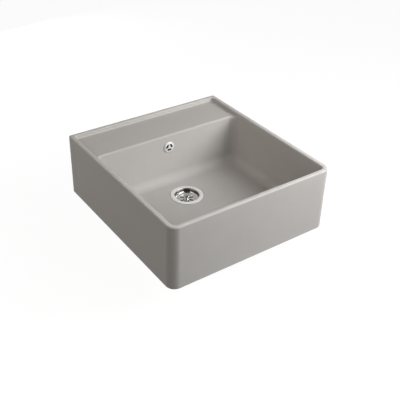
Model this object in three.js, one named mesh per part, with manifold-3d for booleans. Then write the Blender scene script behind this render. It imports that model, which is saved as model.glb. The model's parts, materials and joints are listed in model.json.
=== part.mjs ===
// A ceramic farmhouse sink with a plain apron, a single bowl and a lowered tap ledge, with its
// overflow and its basket strainer waste. Millimetres, +Z up, +Y towards the wall behind the sink.
// The origin is on the underside, below the middle of the bowl.

import * as THREE from 'three';
import { mergeVertices } from 'three/addons/utils/BufferGeometryUtils.js';
import Module from 'manifold-3d';

const wasm = await Module();
wasm.setup();

// ---------------------------------------------------------------- driving dimensions

// Gaps between pieces.
const seatGap = 0.3; // between faces that rest on each other
const ringGap = 0.3; // around a piece that sits in a bore
const cutOverrun = 3; // how far a cut runs on past the face it opens
const sliverSize = 0.01; // detail smaller than this is dropped after a cut

// Ceramic body.
const sinkWidth = 595;
const sinkDepth = 630;
const sinkHeight = 220;
const sideRim = 17;
const frontRim = 16;
const upstandThickness = 15;
const ledgeDepth = 140;
const ledgeDrop = 14;
const ledgeThickness = 16;
const dividingWall = 18; // between the bowl and the hollow under the ledge
const bowlFloorThickness = 26;
const apronCornerRadius = 30;
const backCornerRadius = 8;
const bowlRearCornerRadius = 28;
const bowlFloorCornerRadius = 40;
const ledgeCornerRadius = 10;
const hollowCornerRadius = 12;
const rimRounding = 5;
const footRounding = 3;
const ledgeNoseRounding = 6;
const ledgeFillet = 5;
const bowlFloorFillet = 32;
const tapRecessRadius = 17.5;
const tapRecessOffset = 120; // each way from the centre line
const tapRecessSkin = 5; // ceramic left to knock out

// Drain in the bowl's floor.
const drainFromRearWall = 114;
const drainHoleClearance = 0.6; // round the strainer's throat
const flangeRecessMargin = 2; // round the strainer's flange
const flangeRecessDepth = 2;
const clampRecessMargin = 3; // round the waste body's clamping flange
const clampRecessDepth = 8;

// Strainer cup, pressed from sheet.
const sheet = 1;
const flangeWidth = 13.1;
const flangeRise = 1.6; // the flange's crown above its edge
const throatRadius = 43.4;
const throatDepth = 14; // from the flange's crown to the shoulder that carries the basket
const shoulderWidth = 4;
const cupFloorDepth = 55; // from the flange's crown to the cup's floor
const plugSeatRadius = 23;
const plugSeatDepth = 13; // the straight wall above the cup's floor
const flangeSealThickness = 1.2;
const flangeSealWidth = 7;
const cupHoleCount = 8;
const cupHoleRadius = 3.4;

// Waste body below the ceramic.
const lowerSealThickness = 2.2;
const clampFlangeThickness = 4;
const clampFlangeWidth = 15;
const chamberWall = 3.5;
const chamberConeHeight = 18;
const outletBoreRadius = 20;
const outletWall = 4;
const outletLength = 28;
const bossWall = 3.2;
const bossBelowScrew = 1.5;
const webThickness = 3.5;
const webHeight = 20;
const webCount = 3;
const webFirstAngle = Math.PI / 6; // keeps the webs clear of the overflow spigot

// Clamp screw and its nut.
const screwShankRadius = 6;
const screwHeadRadius = 11;
const screwHeadHeight = 4;
const screwLength = 31.3; // under the head
const socketRadius = 3.4;
const socketDepth = 12;
const screwWasherThickness = 1.2;
const insertNutRadius = 9.5;
const insertNutHeight = 12;

// Basket and plug.
const basketDepth = 4.6;
const basketFloorRadius = 24;
const basketRimRise = 1.9; // the rolled rim's height above the cup's shoulder
const petalCount = 6;
const petalInnerRadius = 10.5;
const petalOuterRadius = 20.5;
const petalInnerWidth = 3;
const petalOuterWidth = 7;
const perforationCount = 20;
const perforationRadius = 1.5;
const perforationFromFloorEdge = 6; // out from the flat floor's edge
const knobRadius = 11;
const knobWall = 1.3; // round the stem
const knobFootWidth = 2;
const knobHeight = 16.7;
const knobCapThickness = 5;
const stemRadius = 3;
const stemTipRadius = 2.4;
const stemCollarRadius = 6;
const stemCollarHeight = 1.4;
const carrierRadius = 20;
const carrierFlangeHeight = 3;
const carrierNeckRadius = 7;
const plugSealHeight = 6;
const plugSealInSeat = 3; // how far the closed plug reaches into its seat
const stemRingThickness = 1.1;
const stemRingFromTip = 4;
const stemRingSides = 6;
const stemGrooveDepth = 0.4;
const stemTipInSocket = 9.8;

// Overflow in the bowl's rear wall.
const overflowBelowRim = 60;
const overflowHoleClearance = 1.5; // round the cover's neck
const overflowCoverRadius = 19.5;
const overflowCoverThickness = 2.5;
const overflowNeckRadius = 15;
const overflowNeckWall = 1.6;
const overflowNeckEngagement = 8; // how far the neck reaches into the elbow
const overflowSlotCount = 3;
const overflowSlotLength = 13.5;
const overflowSlotWidth = 4.6;
const overflowSlotCircleRadius = 8.7;
const overflowCoverSealThickness = 1;
const overflowGasketThickness = 2;
const overflowGasketWidth = 8;
const elbowFlangeMargin = 1; // round the gasket
const elbowFlangeThickness = 3.4;
const elbowWall = 3.7;
const elbowDrop = 44; // from the overflow's centre to the spigot's end

// Overflow hose and its union nuts.
const hoseRadius = 12;
const hoseRibDepth = 1.8;
const hoseBoreRadius = 9.2;
const hoseRibPitch = 4.2;
const hoseRingPoints = 8;
const hoseBoreRingEvery = 5; // ribs
const hoseBendRadius = 60;
const hoseCuffLength = 26; // plain straight end, over one diameter
const spigotWall = 2.7;
const spigotSocketDepth = 14;
const lowerSpigotBelowSeat = 36;
const lowerSpigotLength = 25; // beyond the waste body's wall
const nutWall = 3.7;
const nutLipThickness = 2.5;
const nutThreadLength = 13;
const hoseSealThickness = 2.4;

// How finely round things are drawn: straight sides round a circle, and steps in a quarter of one.
const wideRound = 40;
const middleRound = 28;
const smallRound = 16;
const holeRound = 8;
const cornerSteps = 5;
const filletSteps = 3;
const pressedSteps = 3;

// ---------------------------------------------------------------- derived places

const bowlLength = sinkDepth - frontRim - ledgeDepth - upstandThickness;
const bowlFrontY = -bowlLength / 2;
const bowlRearY = bowlLength / 2;
const apronY = bowlFrontY - frontRim;
const ledgeRearY = bowlRearY + ledgeDepth;
const backY = ledgeRearY + upstandThickness;
const wallRearY = bowlRearY + dividingWall;
const ledgeZ = sinkHeight - ledgeDrop;
const hollowTopZ = ledgeZ - ledgeThickness;
const bowlHalfWidth = sinkWidth / 2 - sideRim;
const drainY = bowlRearY - drainFromRearWall;
const overflowZ = sinkHeight - overflowBelowRim;

const drainHoleRadius = throatRadius + sheet + drainHoleClearance;
const flangeRadius = throatRadius + flangeWidth;
const clampFlangeRadius = drainHoleRadius + clampFlangeWidth;
const clampRecessRadius = clampFlangeRadius + clampRecessMargin;
const flangeSealZ = bowlFloorThickness - flangeRecessDepth + seatGap;
const flangeZ = flangeSealZ + flangeSealThickness + seatGap;
const flangeCrownZ = flangeZ + flangeRise;
const shoulderZ = flangeCrownZ - throatDepth;
const shoulderInnerRadius = throatRadius - shoulderWidth;
const cupFloorZ = flangeCrownZ - cupFloorDepth;
const plugSeatTopZ = cupFloorZ + plugSeatDepth;
const bellyRadius = shoulderInnerRadius - sheet / 2;
const cupHoleCircleRadius = (screwHeadRadius + plugSeatRadius) / 2;

const lowerSealTopZ = clampRecessDepth - seatGap;
const clampFlangeTopZ = lowerSealTopZ - lowerSealThickness - seatGap;
const chamberRadius = throatRadius;
const bossTopZ = cupFloorZ - sheet - seatGap;
const bossRadius = insertNutRadius + ringGap + bossWall;

const screwWasherZ = cupFloorZ + seatGap;
const screwHeadZ = screwWasherZ + screwWasherThickness + seatGap;
const screwHeadTopZ = screwHeadZ + screwHeadHeight;
const screwTipZ = screwHeadZ - screwLength;
const insertNutTopZ = screwTipZ + insertNutHeight;
const insertPocketTopZ = insertNutTopZ + seatGap;
const bossZ = screwTipZ - bossBelowScrew;
const chamberFloorZ = bossZ;
const outletTopZ = chamberFloorZ - chamberConeHeight;
const outletZ = outletTopZ - outletLength;
const outletRadius = outletBoreRadius + outletWall;

const basketRimZ = shoulderZ + seatGap;
const basketRimTopZ = basketRimZ + basketRimRise;
const basketFloorZ = basketRimTopZ - basketDepth;
const basketUndersideZ = basketFloorZ - sheet;
const basketRimRadius = throatRadius - 2 * ringGap;
const basketMouthRadius = shoulderInnerRadius - 2 * sheet;
const knobZ = basketFloorZ + seatGap;
const knobNeckRadius = stemRadius + ringGap + knobWall;
const knobFootRadius = knobNeckRadius + knobFootWidth;
const plugSealZ = plugSeatTopZ - plugSealInSeat;
const plugSealTopZ = plugSealZ + plugSealHeight;
const plugSealRadius = plugSeatRadius - ringGap;
const carrierZ = plugSealTopZ + seatGap;
const carrierTopZ = basketUndersideZ - seatGap;
const stemCollarTopZ = plugSealZ - seatGap;
const stemTipZ = screwHeadTopZ - stemTipInSocket;
const stemRingZ = stemTipZ + stemRingFromTip;
const stemTopZ = knobZ + knobHeight / 2 - seatGap;

const coverSealY = bowlRearY - seatGap;
const coverBackY = coverSealY - overflowCoverSealThickness - seatGap;
const gasketY = wallRearY + seatGap;
const elbowY = gasketY + overflowGasketThickness + seatGap;
const neckEndY = elbowY + overflowNeckEngagement;
const overflowHoleRadius = overflowNeckRadius + overflowHoleClearance;
const overflowGasketRadius = overflowHoleRadius + ringGap + overflowGasketWidth;
const elbowFlangeRadius = overflowGasketRadius + elbowFlangeMargin;
const elbowRadius = overflowNeckRadius + ringGap + elbowWall;
const spigotSocketRadius = hoseRadius + ringGap;
const spigotRadius = spigotSocketRadius + spigotWall;
const nutRadius = spigotRadius + ringGap + nutWall;
const downSpigotY = elbowY + nutRadius + seatGap;
const upperSpigotEndZ = overflowZ - elbowDrop;
const lowerSpigotZ = -lowerSpigotBelowSeat;
const lowerSpigotReach = chamberRadius + chamberWall + lowerSpigotLength;
const lowerSpigotEndY = drainY + lowerSpigotReach;

// ---------------------------------------------------------------- finishes

function finish(color, roughness, metalness = 0) {
  return new THREE.MeshStandardMaterial({ color, roughness, metalness });
}

const glazedCeramic = () => finish(0xa9a59f, 0.38);
const polishedChrome = () => finish(0xdedede, 0.1, 1);
const pressedStainless = () => finish(0xcfcfcd, 0.2, 1);
const blackRubber = () => finish(0x242424, 0.85);
const greyRubber = () => finish(0x55565a, 0.8);
const whitePolypropylene = () => finish(0xe6e5e1, 0.5);
const greyPolypropylene = () => finish(0x8c8f91, 0.5);
const turnedBrass = () => finish(0xb89a55, 0.3, 1);

// ---------------------------------------------------------------- mesh helpers

// A closed indexed geometry with position only, no flat triangles, and faces pointing out.
function closedGeometry(source) {
  const geometry = source.clone();
  geometry.deleteAttribute('normal');
  geometry.deleteAttribute('uv');
  const merged = mergeVertices(geometry, 1e-4);
  const position = merged.getAttribute('position');
  const corners = merged.index.array;
  const kept = [];
  const [a, b, c] = [new THREE.Vector3(), new THREE.Vector3(), new THREE.Vector3()];
  let volume = 0;
  for (let i = 0; i < corners.length; i += 3) {
    const [p, q, r] = [corners[i], corners[i + 1], corners[i + 2]];
    if (p === q || q === r || r === p) continue;
    kept.push(p, q, r);
    a.fromBufferAttribute(position, p);
    b.fromBufferAttribute(position, q);
    c.fromBufferAttribute(position, r);
    volume += a.dot(b.cross(c));
  }
  if (volume < 0) kept.reverse();
  merged.setIndex(kept);
  return merged;
}

function toManifold(geometry) {
  const closed = closedGeometry(geometry);
  return new wasm.Manifold(new wasm.Mesh({
    numProp: 3,
    vertProperties: Float32Array.from(closed.getAttribute('position').array),
    triVerts: Uint32Array.from(closed.index.array),
  }));
}

function toGeometry(manifold) {
  const mesh = manifold.getMesh();
  const geometry = new THREE.BufferGeometry();
  geometry.setAttribute('position', new THREE.BufferAttribute(mesh.vertProperties, 3));
  geometry.setIndex(new THREE.BufferAttribute(mesh.triVerts, 1));
  return geometry;
}

// The first geometry joined with those in add, and then cut by those in cut. Steps finer than the
// sliver size are smoothed away.
function carve(base, { add = [], cut = [] }) {
  let solid = toManifold(base);
  for (const piece of add) solid = solid.add(toManifold(piece));
  for (const tool of cut) solid = solid.subtract(toManifold(tool));
  return toGeometry(solid.simplify(sliverSize));
}

// A ring's profile, or one that starts and ends on the axis, turned about Z. Points are [radius, z].
function turned(profile, segments) {
  const points = profile.map(([r, z]) => new THREE.Vector2(r, z));
  if (profile[0][0] > 0) points.push(points[0].clone());
  return new THREE.LatheGeometry(points, segments).rotateX(Math.PI / 2);
}

function tubeProfile(innerRadius, outerRadius, lowZ, highZ) {
  return [[innerRadius, lowZ], [outerRadius, lowZ], [outerRadius, highZ], [innerRadius, highZ]];
}

function rodProfile(radius, lowZ, highZ) {
  return [[0, lowZ], [radius, lowZ], [radius, highZ], [0, highZ]];
}

// Turned about an axis that runs along +Y instead of +Z.
function alongY(geometry) {
  return geometry.rotateX(-Math.PI / 2);
}

function bar(width, depth, lowZ, highZ) {
  return new THREE.BoxGeometry(width, depth, highZ - lowZ).translate(0, 0, (lowZ + highZ) / 2);
}

// Copies of a geometry, spaced evenly about Z.
function aroundZ(count, makeOne, firstAngle = 0) {
  return Array.from({ length: count }, (_, i) => (
    makeOne(i).rotateZ(firstAngle + (i * 2 * Math.PI) / count)
  ));
}

// ---------------------------------------------------------------- rounded box rings

// The outline of a plan rectangle with round corners, anticlockwise from its right side. A rear
// corner may swell outwards about its own centre, and is then held inside the two side walls.
function outline({ left, right, front, rear, frontRadius, rearRadius, rearSwell = 0 }) {
  const corners = [
    [right - rearRadius, rear - rearRadius, rearRadius + rearSwell],
    [left + rearRadius, rear - rearRadius, rearRadius + rearSwell],
    [left + frontRadius, front + frontRadius, frontRadius],
    [right - frontRadius, front + frontRadius, frontRadius],
  ];
  return corners.flatMap(([x, y, radius], quarter) => (
    Array.from({ length: cornerSteps + 1 }, (_, i) => {
      const angle = (quarter + i / cornerSteps) * (Math.PI / 2);
      const cornerX = x + radius * Math.cos(angle);
      return [Math.min(right, Math.max(left, cornerX)), y + radius * Math.sin(angle)];
    })
  ));
}

// The same plan rectangle moved in on all sides. A negative inset moves it out.
function inset(plan, distance) {
  return {
    ...plan,
    left: plan.left + distance,
    right: plan.right - distance,
    front: plan.front + distance,
    rear: plan.rear - distance,
    frontRadius: plan.frontRadius - distance,
    rearRadius: plan.rearRadius - distance,
  };
}

// A closed solid through outlines of equal count, one above the other. Levels are { z, plan }.
function lofted(levels) {
  const rings = levels.map(({ plan }) => outline(plan));
  const count = rings[0].length;
  const positions = rings.flatMap((ring, level) => (
    ring.flatMap(([x, y]) => [x, y, levels[level].z])
  ));
  const triangles = [];
  for (let level = 0; level + 1 < rings.length; level += 1) {
    for (let i = 0; i < count; i += 1) {
      const next = (i + 1) % count;
      const [low, lowNext] = [level * count + i, level * count + next];
      const [high, highNext] = [low + count, lowNext + count];
      triangles.push(low, lowNext, highNext, low, highNext, high);
    }
  }
  const cap = (level) => {
    const contour = rings[level].map(([x, y]) => new THREE.Vector2(x, y));
    return THREE.ShapeUtils.triangulateShape(contour, []).map((face) => (
      face.map((corner) => corner + level * count)
    ));
  };
  cap(0).forEach(([a, b, c]) => triangles.push(a, c, b));
  cap(rings.length - 1).forEach(([a, b, c]) => triangles.push(a, b, c));
  const geometry = new THREE.BufferGeometry();
  geometry.setAttribute('position', new THREE.Float32BufferAttribute(positions, 3));
  geometry.setIndex(triangles);
  return geometry;
}

// Shares of a quarter circle: how far the surface has come in, and how far it has risen, from 0 to 1.
function quarterSteps(steps) {
  return Array.from({ length: steps + 1 }, (_, i) => {
    const angle = (i / steps) * (Math.PI / 2);
    return { across: 1 - Math.cos(angle), along: Math.sin(angle) };
  });
}

// ---------------------------------------------------------------- ceramic body

function sinkOuter() {
  const plan = {
    left: -sinkWidth / 2,
    right: sinkWidth / 2,
    front: apronY,
    rear: backY,
    frontRadius: apronCornerRadius,
    rearRadius: backCornerRadius,
  };
  const foot = quarterSteps(filletSteps).reverse().map(({ across, along }) => ({
    z: footRounding * (1 - along),
    plan: inset(plan, footRounding * across),
  }));
  const rim = quarterSteps(filletSteps).map(({ across, along }) => ({
    z: sinkHeight - rimRounding * (1 - along),
    plan: inset(plan, rimRounding * across),
  }));
  return lofted([...foot, ...rim]);
}

const openingPlan = {
  left: -bowlHalfWidth,
  right: bowlHalfWidth,
  front: bowlFrontY,
  rear: ledgeRearY,
  frontRadius: apronCornerRadius - frontRim,
  rearRadius: ledgeCornerRadius,
};

// The space above the ledge, over the bowl as well, with the rim's rounding at its top.
function aboveLedge() {
  const floor = quarterSteps(filletSteps).reverse().map(({ across, along }) => ({
    z: ledgeZ + ledgeFillet * (1 - along),
    plan: inset(openingPlan, ledgeFillet * across),
  }));
  const mouth = quarterSteps(filletSteps).map(({ across, along }) => ({
    z: sinkHeight - rimRounding * (1 - along),
    plan: inset(openingPlan, -rimRounding * across),
  }));
  const clearOfRim = { z: sinkHeight + rimRounding, plan: inset(openingPlan, -rimRounding) };
  return lofted([...floor, ...mouth, clearOfRim]);
}

// The bowl, from its coved floor to the rounded nose of the ledge.
function bowlSpace() {
  const plan = { ...openingPlan, rear: bowlRearY, rearRadius: bowlRearCornerRadius };
  const coved = (share) => ({
    ...inset(plan, bowlFloorFillet * share),
    frontRadius: plan.frontRadius + (bowlFloorCornerRadius - plan.frontRadius) * share,
    rearRadius: plan.rearRadius + (bowlFloorCornerRadius - plan.rearRadius) * share,
  });
  const cove = quarterSteps(2 * filletSteps).reverse().map(({ across, along }) => ({
    z: bowlFloorThickness + bowlFloorFillet * (1 - along),
    plan: coved(across),
  }));
  const nose = quarterSteps(filletSteps).map(({ across, along }) => ({
    z: ledgeZ - ledgeNoseRounding * (1 - along),
    plan: { ...plan, rearSwell: ledgeNoseRounding * across },
  }));
  const top = {
    z: ledgeZ + ledgeFillet + cutOverrun,
    plan: { ...plan, rearSwell: ledgeNoseRounding },
  };
  return lofted([...cove, ...nose, top]);
}

// The hollow under the ledge, open below, where the tap's tails and the overflow hose run.
function ledgeHollow() {
  const plan = {
    left: -bowlHalfWidth,
    right: bowlHalfWidth,
    front: wallRearY,
    rear: ledgeRearY,
    frontRadius: hollowCornerRadius,
    rearRadius: hollowCornerRadius,
  };
  const below = { z: -cutOverrun, plan };
  const roof = quarterSteps(filletSteps).map(({ across, along }) => ({
    z: hollowTopZ - ledgeFillet * (1 - along),
    plan: inset(plan, ledgeFillet * across),
  }));
  return lofted([below, ...roof]);
}

function tapRecess(x) {
  const top = ledgeZ - tapRecessSkin;
  return turned(rodProfile(tapRecessRadius, hollowTopZ - ledgeFillet, top), middleRound)
    .translate(x, (wallRearY + ledgeRearY) / 2, 0);
}

function drainCut() {
  const top = bowlFloorThickness + flangeRecessDepth;
  const flangeRecessRadius = flangeRadius + flangeRecessMargin;
  return turned([
    [0, -clampRecessDepth],
    [clampRecessRadius, -clampRecessDepth],
    [clampRecessRadius, clampRecessDepth],
    [drainHoleRadius, clampRecessDepth],
    [drainHoleRadius, bowlFloorThickness - flangeRecessDepth],
    [flangeRecessRadius, bowlFloorThickness - flangeRecessDepth],
    [flangeRecessRadius + flangeRecessDepth, top],
    [0, top],
  ], wideRound).translate(0, drainY, 0);
}

function overflowCut() {
  return alongY(turned(
    rodProfile(overflowHoleRadius, bowlRearY - dividingWall / 2, wallRearY + dividingWall / 2),
    middleRound,
  )).translate(0, 0, overflowZ);
}

function makeSinkBody() {
  return carve(sinkOuter(), {
    cut: [
      aboveLedge(),
      bowlSpace(),
      ledgeHollow(),
      tapRecess(-tapRecessOffset),
      tapRecess(tapRecessOffset),
      drainCut(),
      overflowCut(),
    ],
  });
}

// ---------------------------------------------------------------- strainer cup and its seals

// A pressed curve that leaves one point level and reaches the other upright. Points are [radius, z].
function pressedCurve([startRadius, startZ], [endRadius, endZ]) {
  return Array.from({ length: pressedSteps + 1 }, (_, i) => {
    const angle = (i / pressedSteps) * (Math.PI / 2);
    return [
      startRadius + (endRadius - startRadius) * Math.sin(angle),
      startZ + (endZ - startZ) * (1 - Math.cos(angle)),
    ];
  });
}

// The pressed cup's inner side, from its centre hole out over the shoulder to the flange's edge.
function cupInnerProfile() {
  return [
    [screwShankRadius + ringGap, cupFloorZ],
    [plugSeatRadius - sheet, cupFloorZ],
    [plugSeatRadius, cupFloorZ + sheet],
    [plugSeatRadius, plugSeatTopZ - sheet],
    ...pressedCurve([plugSeatRadius + sheet, plugSeatTopZ], [bellyRadius, shoulderZ - sheet]),
    [shoulderInnerRadius, shoulderZ],
    [throatRadius - sheet, shoulderZ],
    [throatRadius, shoulderZ + sheet],
    [throatRadius, flangeZ - sheet],
    [throatRadius + sheet, flangeZ + sheet],
    [throatRadius + 3 * sheet, flangeCrownZ],
    [flangeRadius - 4 * sheet, flangeCrownZ],
    [flangeRadius, flangeZ + sheet / 2],
  ];
}

// Its outer side, back from the flange's edge to the centre hole.
function cupOuterProfile() {
  return [
    [flangeRadius, flangeZ],
    [flangeRadius - 4 * sheet, flangeCrownZ - sheet],
    [throatRadius + 4 * sheet, flangeCrownZ - sheet],
    [throatRadius + sheet, flangeZ - sheet],
    [throatRadius + sheet, shoulderZ],
    [throatRadius, shoulderZ - sheet],
    ...pressedCurve(
      [plugSeatRadius + 1.5 * sheet, plugSeatTopZ - sheet],
      [bellyRadius + sheet, shoulderZ - sheet],
    ).reverse(),
    [plugSeatRadius + sheet, plugSeatTopZ - 1.5 * sheet],
    [plugSeatRadius + sheet, cupFloorZ],
    [plugSeatRadius, cupFloorZ - sheet],
    [screwShankRadius + ringGap, cupFloorZ - sheet],
  ];
}

function makeStrainerCup() {
  const shell = turned([...cupInnerProfile(), ...cupOuterProfile()].reverse(), wideRound);
  const holes = aroundZ(cupHoleCount, () => (
    turned(rodProfile(cupHoleRadius, cupFloorZ - 3 * sheet, cupFloorZ + 3 * sheet), holeRound)
      .translate(cupHoleCircleRadius, 0, 0)
  ));
  return carve(shell, { cut: holes }).translate(0, drainY, 0);
}

function makeFlangeSeal() {
  const profile = tubeProfile(
    flangeRadius - sheet - flangeSealWidth,
    flangeRadius - sheet,
    flangeSealZ,
    flangeSealZ + flangeSealThickness,
  );
  return turned(profile, wideRound).translate(0, drainY, 0);
}

function makeLowerSeal() {
  const profile = tubeProfile(
    drainHoleRadius + sheet,
    clampFlangeRadius,
    lowerSealTopZ - lowerSealThickness,
    lowerSealTopZ,
  );
  return turned(profile, wideRound).translate(0, drainY, 0);
}

// ---------------------------------------------------------------- waste body, screw and nut

function wasteShell() {
  const outerRadius = chamberRadius + chamberWall;
  return turned([
    [0, outletZ],
    [outletRadius, outletZ],
    [outletRadius, outletTopZ],
    [outerRadius, chamberFloorZ],
    [outerRadius, clampFlangeTopZ - clampFlangeThickness],
    [clampFlangeRadius, clampFlangeTopZ - clampFlangeThickness],
    [clampFlangeRadius, clampFlangeTopZ],
    [0, clampFlangeTopZ],
  ], wideRound);
}

function wasteChamber() {
  return turned([
    [0, outletZ - cutOverrun],
    [outletBoreRadius, outletZ - cutOverrun],
    [outletBoreRadius, outletTopZ + chamberWall / 2],
    [chamberRadius, chamberFloorZ + chamberWall / 2],
    [chamberRadius, clampFlangeTopZ + cutOverrun],
    [0, clampFlangeTopZ + cutOverrun],
  ], wideRound);
}

// The boss that holds the insert nut, on webs that reach the chamber's wall.
function wasteSpider() {
  const lowZ = bossZ - cutOverrun;
  const webs = aroundZ(webCount, () => (
    bar(chamberRadius + chamberWall / 2 - bossRadius / 2, webThickness, bossZ, bossZ + webHeight)
      .translate((chamberRadius + chamberWall / 2 + bossRadius / 2) / 2, 0, 0)
  ), webFirstAngle);
  return carve(turned(rodProfile(bossRadius, bossZ, bossTopZ), middleRound), {
    add: webs,
    cut: [
      turned(rodProfile(screwShankRadius + 2 * ringGap, lowZ, bossTopZ + cutOverrun), smallRound),
      turned(rodProfile(insertNutRadius + ringGap, lowZ, insertPocketTopZ), smallRound),
    ],
  });
}

// A run along the overflow spigot's axis, from and to distances behind the drain's axis.
function lowerSpigotRun(radius, from, to) {
  return alongY(turned(rodProfile(radius, from, to), middleRound)).translate(0, 0, lowerSpigotZ);
}

function makeWasteBody() {
  const insideWall = chamberRadius + chamberWall / 2;
  const cutEnd = lowerSpigotReach + cutOverrun;
  const body = carve(wasteShell(), {
    add: [lowerSpigotRun(spigotRadius, insideWall, lowerSpigotReach)],
    cut: [
      wasteChamber(),
      lowerSpigotRun(hoseBoreRadius, bossRadius + webThickness, cutEnd),
      lowerSpigotRun(spigotSocketRadius, lowerSpigotReach - spigotSocketDepth, cutEnd),
    ],
  });
  return carve(body, { add: [wasteSpider()] }).translate(0, drainY, 0);
}

function makeClampScrew() {
  return turned([
    [0, screwTipZ],
    [screwShankRadius - sheet, screwTipZ],
    [screwShankRadius, screwTipZ + sheet],
    [screwShankRadius, screwHeadZ],
    [screwHeadRadius, screwHeadZ],
    [screwHeadRadius, screwHeadTopZ - sheet],
    [screwHeadRadius - sheet, screwHeadTopZ],
    [socketRadius, screwHeadTopZ],
    [socketRadius, screwHeadTopZ - socketDepth],
    [0, screwHeadTopZ - socketDepth],
  ], smallRound).translate(0, drainY, 0);
}

function makeScrewWasher() {
  const innerRadius = screwShankRadius + ringGap;
  const topZ = screwWasherZ + screwWasherThickness;
  return turned(tubeProfile(innerRadius, screwHeadRadius, screwWasherZ, topZ), smallRound)
    .translate(0, drainY, 0);
}

function makeInsertNut() {
  const innerRadius = screwShankRadius + ringGap;
  return turned(tubeProfile(innerRadius, insertNutRadius, screwTipZ, insertNutTopZ), smallRound)
    .translate(0, drainY, 0);
}

// ---------------------------------------------------------------- basket and plug

function basketShell() {
  const lipZ = basketRimZ + sheet / 2;
  return turned([
    [stemRadius + ringGap, basketUndersideZ],
    ...pressedCurve([basketFloorRadius, basketUndersideZ], [basketMouthRadius + sheet, lipZ - sheet]),
    [basketMouthRadius + 2 * sheet, lipZ],
    [basketRimRadius - sheet / 2, lipZ],
    [basketRimRadius, lipZ + sheet / 2],
    [basketRimRadius - sheet / 2, basketRimTopZ],
    [basketMouthRadius + sheet, basketRimTopZ],
    ...pressedCurve([basketFloorRadius, basketFloorZ], [basketMouthRadius, lipZ]).reverse(),
    [stemRadius + ringGap, basketFloorZ],
  ], wideRound);
}

// A petal-shaped opening, narrow towards the knob and round at both ends.
function petal() {
  const shape = new THREE.Shape();
  shape.absarc(petalInnerRadius, 0, petalInnerWidth / 2, Math.PI / 2, (3 * Math.PI) / 2);
  shape.absarc(petalOuterRadius, 0, petalOuterWidth / 2, -Math.PI / 2, Math.PI / 2);
  return new THREE.ExtrudeGeometry(shape, {
    depth: 3 * sheet,
    bevelEnabled: false,
    curveSegments: holeRound / 2,
  }).translate(0, 0, basketUndersideZ - sheet);
}

function perforation() {
  const low = basketUndersideZ - sheet;
  return turned(rodProfile(perforationRadius, low, basketRimTopZ), holeRound)
    .translate(basketFloorRadius + perforationFromFloorEdge, 0, 0);
}

function makeBasket() {
  const halfStep = Math.PI / wideRound;
  return carve(basketShell(), {
    cut: [
      ...aroundZ(petalCount, petal),
      ...aroundZ(perforationCount, perforation, halfStep),
    ],
  }).translate(0, drainY, 0);
}

function makeBasketKnob() {
  const crownZ = knobZ + knobHeight;
  const capZ = crownZ - knobCapThickness;
  const holeTopZ = stemTopZ + seatGap;
  return turned([
    [stemRadius + ringGap, knobZ],
    [knobFootRadius, knobZ],
    [knobFootRadius, knobZ + sheet],
    [knobNeckRadius, knobZ + 2 * sheet],
    [knobNeckRadius, capZ - sheet],
    [knobRadius - sheet, capZ],
    [knobRadius, capZ + sheet],
    [knobRadius - sheet / 2, crownZ - sheet],
    [knobRadius / 2, crownZ - sheet / 4],
    [0, crownZ],
    [0, holeTopZ],
    [stemRadius + ringGap, holeTopZ],
  ], smallRound).translate(0, drainY, 0);
}

function makeSealCarrier() {
  const innerRadius = stemRadius + ringGap;
  return turned([
    [innerRadius, carrierZ],
    [carrierRadius, carrierZ],
    [carrierRadius, carrierZ + carrierFlangeHeight - sheet],
    [carrierRadius - sheet, carrierZ + carrierFlangeHeight],
    [carrierNeckRadius, carrierZ + carrierFlangeHeight],
    [carrierNeckRadius, carrierTopZ],
    [innerRadius, carrierTopZ],
  ], smallRound).translate(0, drainY, 0);
}

function makePlugSeal() {
  const innerRadius = stemRadius + ringGap;
  return turned([
    [innerRadius, plugSealZ],
    [plugSealRadius - 5 * ringGap, plugSealZ],
    [plugSealRadius, plugSealZ + plugSealHeight / 3],
    [plugSealRadius - 2 * ringGap, plugSealTopZ],
    [innerRadius, plugSealTopZ],
  ], wideRound).translate(0, drainY, 0);
}

function makeBasketStem() {
  const grooveRadius = stemTipRadius - stemGrooveDepth;
  const tipBevel = stemTipRadius / 4;
  return turned([
    [0, stemTipZ],
    [stemTipRadius - tipBevel, stemTipZ],
    [stemTipRadius, stemTipZ + tipBevel],
    [stemTipRadius, stemRingZ - stemRingThickness],
    [grooveRadius, stemRingZ - stemRingThickness],
    [grooveRadius, stemRingZ + stemRingThickness],
    [stemTipRadius, stemRingZ + stemRingThickness],
    [stemTipRadius, stemCollarTopZ - stemCollarHeight],
    [stemCollarRadius, stemCollarTopZ - stemCollarHeight],
    [stemCollarRadius, stemCollarTopZ],
    [stemRadius, stemCollarTopZ],
    [stemRadius, stemTopZ],
    [0, stemTopZ],
  ], smallRound).translate(0, drainY, 0);
}

function makeStemRing() {
  const centreRadius = (stemTipRadius + socketRadius) / 2 - ringGap / 2;
  const ring = Array.from({ length: stemRingSides }, (_, i) => {
    const angle = (i / stemRingSides) * 2 * Math.PI;
    const radius = stemRingThickness / 2;
    return [centreRadius + radius * Math.cos(angle), stemRingZ + radius * Math.sin(angle)];
  });
  return turned(ring, smallRound).translate(0, drainY, 0);
}

// ---------------------------------------------------------------- overflow

// Round pieces of the overflow are turned about its axis, which runs back from the bowl.
function onOverflowAxis(profile, segments) {
  return alongY(turned(profile, segments)).translate(0, 0, overflowZ);
}

function overflowSlot() {
  const half = (overflowSlotLength - overflowSlotWidth) / 2;
  const shape = new THREE.Shape();
  shape.absarc(0, half, overflowSlotWidth / 2, 0, Math.PI);
  shape.absarc(0, -half, overflowSlotWidth / 2, Math.PI, 2 * Math.PI);
  return new THREE.ExtrudeGeometry(shape, {
    depth: 3 * overflowCoverThickness,
    bevelEnabled: false,
    curveSegments: holeRound / 2,
  }).translate(overflowSlotCircleRadius, 0, coverBackY - 2 * overflowCoverThickness);
}

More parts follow.
